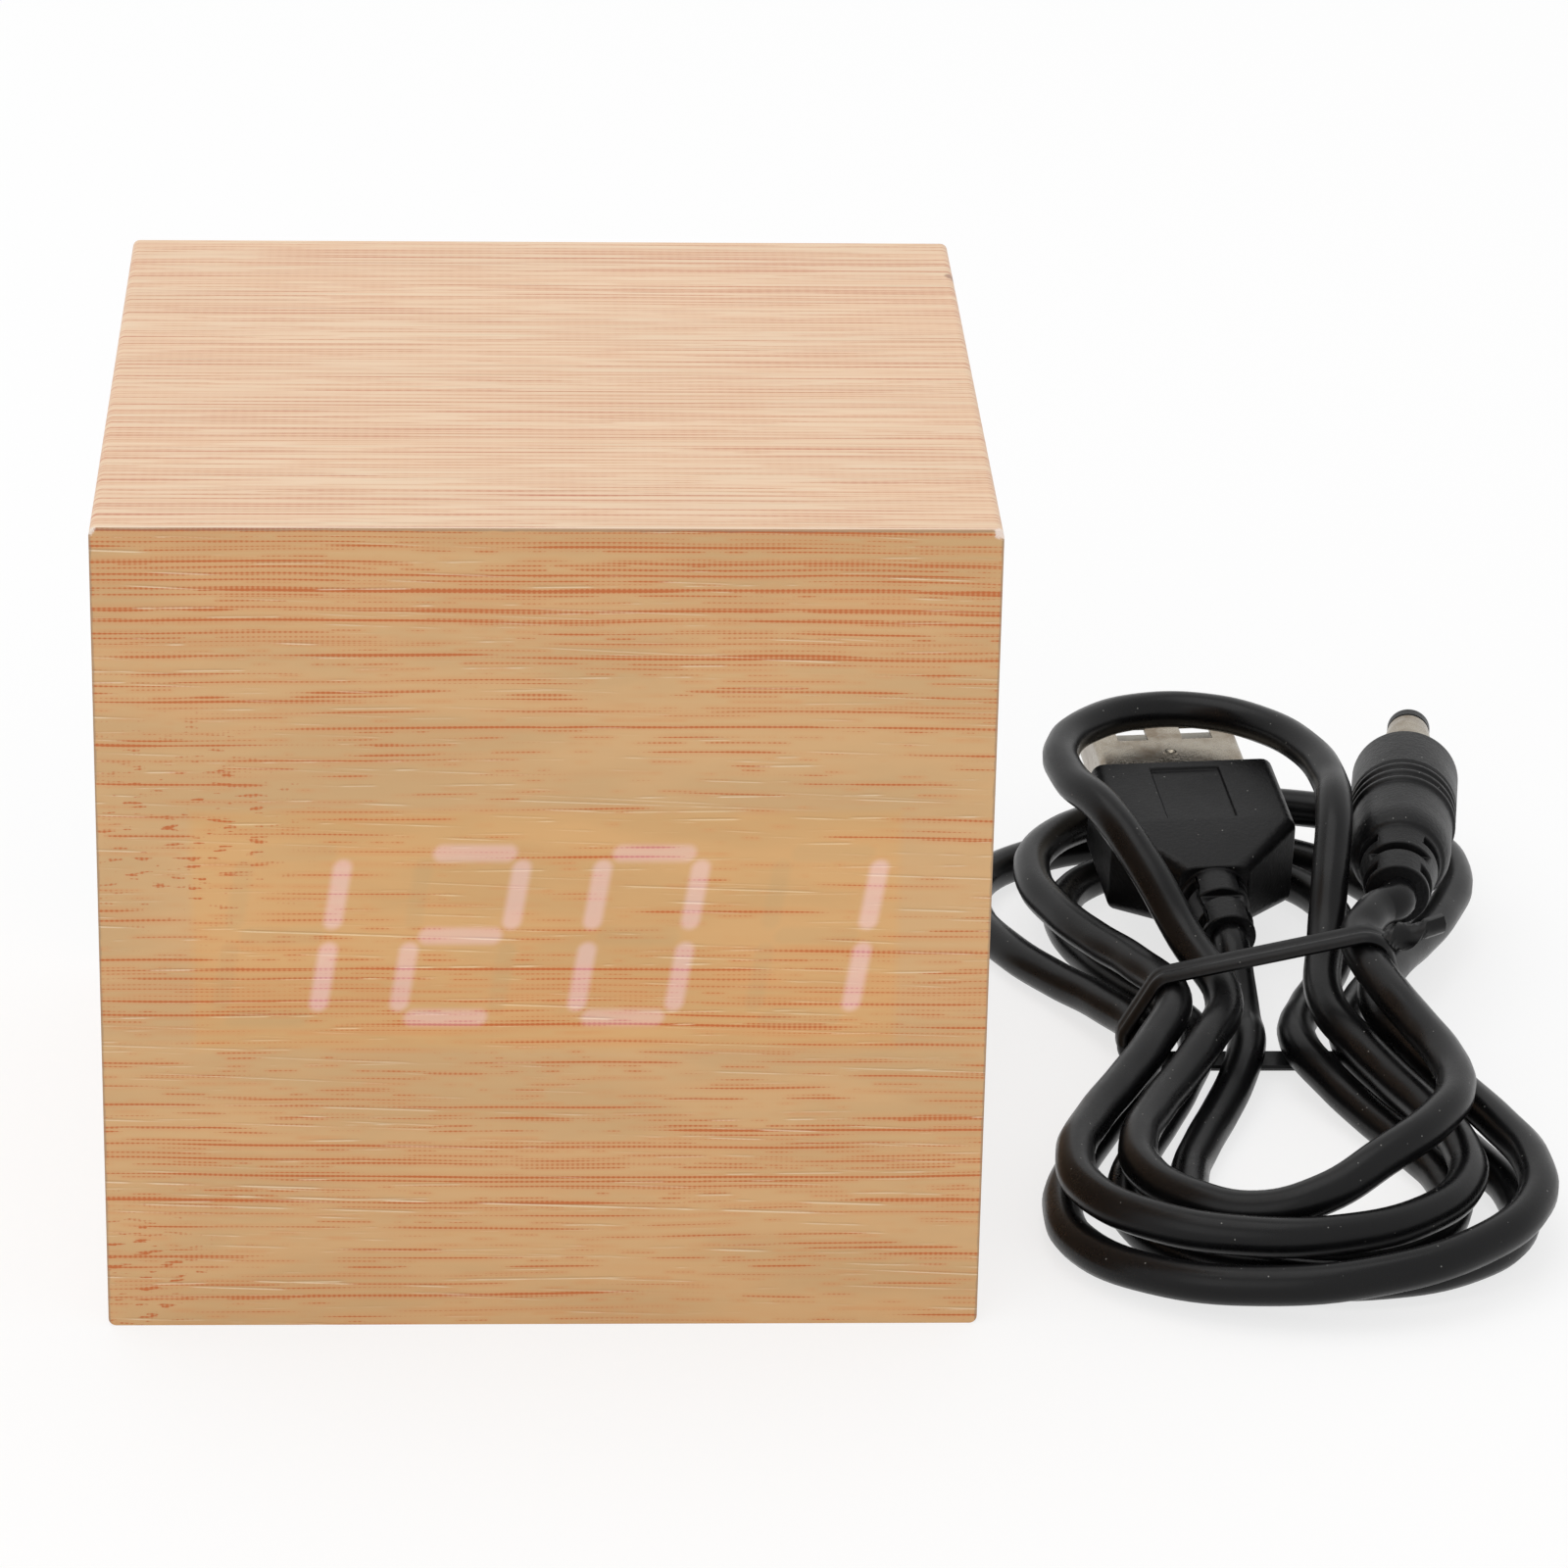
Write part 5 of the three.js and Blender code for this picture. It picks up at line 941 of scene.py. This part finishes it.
def tailPlaces(root):
    rise = radians(tie["tailRise"])
    ahead = Vector((cos(rise), tie["tailSwing"], sin(rise))).normalized()
    aside = Vector((0, 1, 0)).cross(ahead).normalized()
    facing = turnTo(ahead.cross(aside), aside, -ahead)
    places = []
    for step in range(tie["tailSteps"] + 1):
        share = step / tie["tailSteps"]
        twist = radians(tie["tailTwist"]) * min(1, share * tie["tailTwistRate"])
        move = Matrix.Translation(root + ahead * share * tie["tailLength"])
        places.append(move @ facing @ Matrix.Rotation(twist, 4, "Z"))
    return places


def makeTie():
    runs = [hankPoint(i / 2) for i in range(round(2 * hank["turns"]) + 1)]
    reach = cord["diameter"] / 2 + tie["gap"]
    shape = bmesh.new()
    section = [(-x, y) for x, y in tie["rightSide"][:0:-1]] + tie["rightSide"]
    ring = [shape.verts.new((x, y, 0)) for x, y in section]
    edges = [shape.edges.new(pair) for pair in zip(ring, ring[1:] + ring[:1])]
    places = [tiePlace(2 * pi * step / tie["steps"], runs, reach) for step in range(tie["steps"] + 1)]
    ops.transform(shape, matrix=places[0], verts=ring)
    sweepAlong(shape, edges, places)
    weld(shape)

    places = tailPlaces(tiePlace(radians(tie["tailFrom"]), runs, reach).translation)
    ring = ops.create_circle(shape, segments=8, radius=1)["verts"]
    ops.scale(shape, vec=(*tie["tailHalf"], 1), verts=ring)
    ops.transform(shape, matrix=places[0], verts=ring)
    sweepAlong(shape, list({edge for corner in ring for edge in corner.link_edges}), places)
    ops.holes_fill(shape, edges=shape.edges)
    ops.recalc_face_normals(shape, faces=shape.faces)
    band = asObject(shape, "wire_tie")
    smoothFaces(band)
    return finishPiece(band, "tie_plastic", ["lead_tie"], leadPlace)


barrelPieces = makeBarrelPlug()
flatPieces = makeFlatPlug()
wireTie = makeTie()
print("plugs and tie made")


def foldedBlock(front, back):
    shape = bmesh.new()
    blockBetween(shape, (-caseBody["wide"] / 2, front, 0), (caseBody["wide"] / 2, back, caseBody["high"]))
    bevelLengthwise(shape, caseBody["fold"])
    return shape


def makeCase():
    case = caseBody
    walls = asObject(foldedBlock(case["front"], case["back"]), "case_folded_walls")
    half, wall, past = case["wide"] / 2 - case["wall"], case["wall"], case["overrun"]
    low, high = (-half, case["front"] - past, wall), (half, case["back"] + past, case["high"] - wall)
    carveBlocks(walls, (low, high))
    film = asObject(foldedBlock(case["front"] - case["film"], case["front"]), "front_film_sheet")
    roundEdges(walls, case["rim"], 2)
    roundEdges(film, case["rim"] / 2, 2)
    finishPiece(walls, "wood_film", ["case_shell"], material=caseMaterial)
    finishPiece(film, "wood_film", ["front_film"])


makeCase()
print("case made")


# Mouldings and screws at the back with their edges rounded, and contacts only smoothed
rounded = {"back_cover": 0.1, "battery_door": 0.12, "power_socket": 0.12}
rounded |= {f"button_{name}": 0.14 for name in ("set", "up", "down")}
rounded |= {f"cover_screw_{row}_{side}": 0.06 for row in ("upper", "lower") for side in ("left", "right")}
rounded |= {f"contact_{name}": 0 for name in ("positive", "negative", "link_left", "link_right")}
slotOf = {row["node"]: row["material_slot"] for row in frame["record"]["subparts"]}
bodyOf = {name: body for body, group in frame["record"]["behaviour"]["bodies"].items() for name in group}


def makeRounded():
    bpy.context.view_layer.update()
    for name, width in rounded.items():
        shape = bmesh.new()
        shape.from_mesh(nodes[name].data)
        ops.transform(shape, matrix=toMetres.inverted() @ nodes[name].matrix_world, verts=shape.verts)
        weld(shape)
        thing = asObject(shape, name + "_rounded")
        if width:
            roundEdges(thing, width, 2)
        else:
            smoothFaces(thing)
        finishPiece(thing, slotOf[name], [name], body=bodyOf[name])


makeRounded()
print("edges rounded on", len(rounded), "pieces")


# Cells, turned finely, alternate ways round, with a band at the nub's end of the sleeve
cellBody = {"ways": (1, -1, 1), "nub": 1.9, "height": 0.9, "shoulder": 0.5, "foot": 0.3, "footInset": 2.05,
            "nubEdge": 0.25, "band": 13.0, "bare": 0.62, "sleeveGap": 0.1, "rim": 0.06}
cellPaint = {"sleeve": (paint(30, 92, 56), paint(44, 112, 70)), "bandMetal": 0.6, "roughness": (0.2, 0.2),
             "band": (paint(196, 176, 120), paint(210, 192, 138)), "cloudNoise": (0.6, 3.0),
             "bare": (paint(186, 186, 182), paint(206, 205, 200))}


def cellBox(index):
    low, high = (Vector(corner) * 1000 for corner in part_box(f"cell_{index + 1}"))
    return (low + high) / 2, high.x - low.x, (high.z - low.z) / 2


def makeCellSleeve():
    material, shader, place = newMaterial("cell sleeve", {"Coat Weight": 0.3})
    x, y, z = splitAxes(place)
    bare = band = 0.0
    for index, way in enumerate(cellBody["ways"]):
        middle, length, radius = cellBox(index)
        across = joinAxes(less(y, middle.y), less(z, middle.z))
        away = vectorCalc("LENGTH", across)
        bare = larger(bare, below(away, radius - cellBody["bare"]))
        run = times(less(x, middle.x), way)
        inBand = beyond(run, length / 2 - cellBody["band"])
        near = below(away, radius + cellBody["sleeveGap"])
        band = larger(band, times(inBand, near))
    cloud = noise(place, *cellPaint["cloudNoise"])
    sleeve, gold, metal = (mix(cloud, *cellPaint[name]) for name in ("sleeve", "band", "bare"))
    feed(shader, {"Base Color": mix(bare, mix(band, sleeve, gold), metal),
                  "Metallic": larger(bare, times(band, cellPaint["bandMetal"])),
                  "Roughness": scaled(cloud, *cellPaint["roughness"])})
    return material


def cellProfile(length, radius):
    nub, foot, shoulder, edge = (cellBody[key] for key in ("nub", "foot", "shoulder", "nubEdge"))
    can, footRadius = length - cellBody["height"], radius - cellBody["footInset"]
    cut = shoulder * (1 - sqrt(0.5))  # halfway round a shoulder
    return [(0, 0), (footRadius, 0), (footRadius, foot), (radius - shoulder, foot),
            (radius - cut, foot + cut), (radius, foot + shoulder), (radius, can - shoulder),
            (radius - cut, can - cut), (radius - shoulder, can), (nub, can), (nub, length - edge),
            (nub - edge, length), (0, length)]


def makeCells():
    for index, way in enumerate(cellBody["ways"]):
        middle, length, radius = cellBox(index)
        cell = asObject(spinProfile(cellProfile(length, radius)), f"cell_{index + 1}_turned")
        roundEdges(cell, cellBody["rim"], 2)
        place = Matrix.Translation((middle.x - way * length / 2, middle.y, middle.z))
        turn = Matrix.Rotation(-way * pi / 2, 4, "Z")
        finishPiece(cell, "cell_sleeve", [f"cell_{index + 1}"], place @ turn)


finishes["cell_sleeve"] = makeCellSleeve()
makeCells()
print("cells made")


# Every other node keeps its shape and takes its slot's finish
for name, node in nodes.items():
    node.data.materials.clear()
    node.data.materials.append(caseMaterial if name == "case_shell" else finishes[slotOf[name]])
print("nodes finished:", len(slotOf), "with a slot")


# Studio: pale floor, soft light from above and from the camera's side
studio = {"floor": paint(246, 246, 246), "floorHalf": 3, "floorRoughness": 0.9, "floorGlow": 0.74,
          "sky": 0.8, "lookAt": (0.02, 0, 0.03)}
lamps = {"top light": {"place": (-0.15, 0.1, 0.9), "size": 0.7, "power": 2.1},
         "front light": {"place": (-0.5, -0.9, 0.7), "size": 0.8, "power": 1.9}}


def seenDirectly(tree):
    path = addNode("LightPath", {}, tree).outputs
    return larger(larger(path["Is Camera Ray"], path["Is Glossy Ray"]), path["Is Transmission Ray"])


def makeSky():
    world = bpy.data.worlds.new("studio")
    scene.world = world
    world.use_nodes = True
    tree = world.node_tree
    tree.nodes.clear()
    strength = scaled(seenDirectly(tree), 1 - studio["sky"], studio["sky"])
    sky = addNode("Background", {"Color": (1, 1, 1, 1), "Strength": strength})
    addNode("OutputWorld", {"Surface": sky.outputs[0]})


def makeFloor():
    shape = bmesh.new()
    ops.create_grid(shape, x_segments=2, y_segments=2, size=studio["floorHalf"])
    floor = asObject(shape, "floor")
    material = bpy.data.materials.new("floor")
    material.use_nodes = True
    tree = material.node_tree
    matt = tree.nodes["Principled BSDF"]
    feed(matt.inputs, {"Base Color": studio["floor"], "Roughness": studio["floorRoughness"],
                       "Specular IOR Level": 0.0})
    white = addNode("Emission", {"Color": (1, 1, 1, 1), "Strength": 1.0}, tree)
    share = times(seenDirectly(tree), studio["floorGlow"])
    blend = addNode("MixShader", {0: share, 1: matt.outputs[0], 2: white.outputs[0]})
    tree.links.new(blend.outputs[0], tree.nodes["Material Output"].inputs["Surface"])
    floor.data.materials.append(material)


def makeLamps():
    for name, lamp in lamps.items():
        light = bpy.data.lights.new(name, "AREA")
        light.shape, light.size, light.energy = "SQUARE", lamp["size"], lamp["power"]
        thing = newObject(name, light)
        thing.location = lamp["place"]
        ahead = Vector(studio["lookAt"]) - Vector(lamp["place"])
        thing.rotation_euler = ahead.to_track_quat("-Z", "Y").to_euler()


makeSky()
makeFloor()
makeLamps()
print("studio lit")
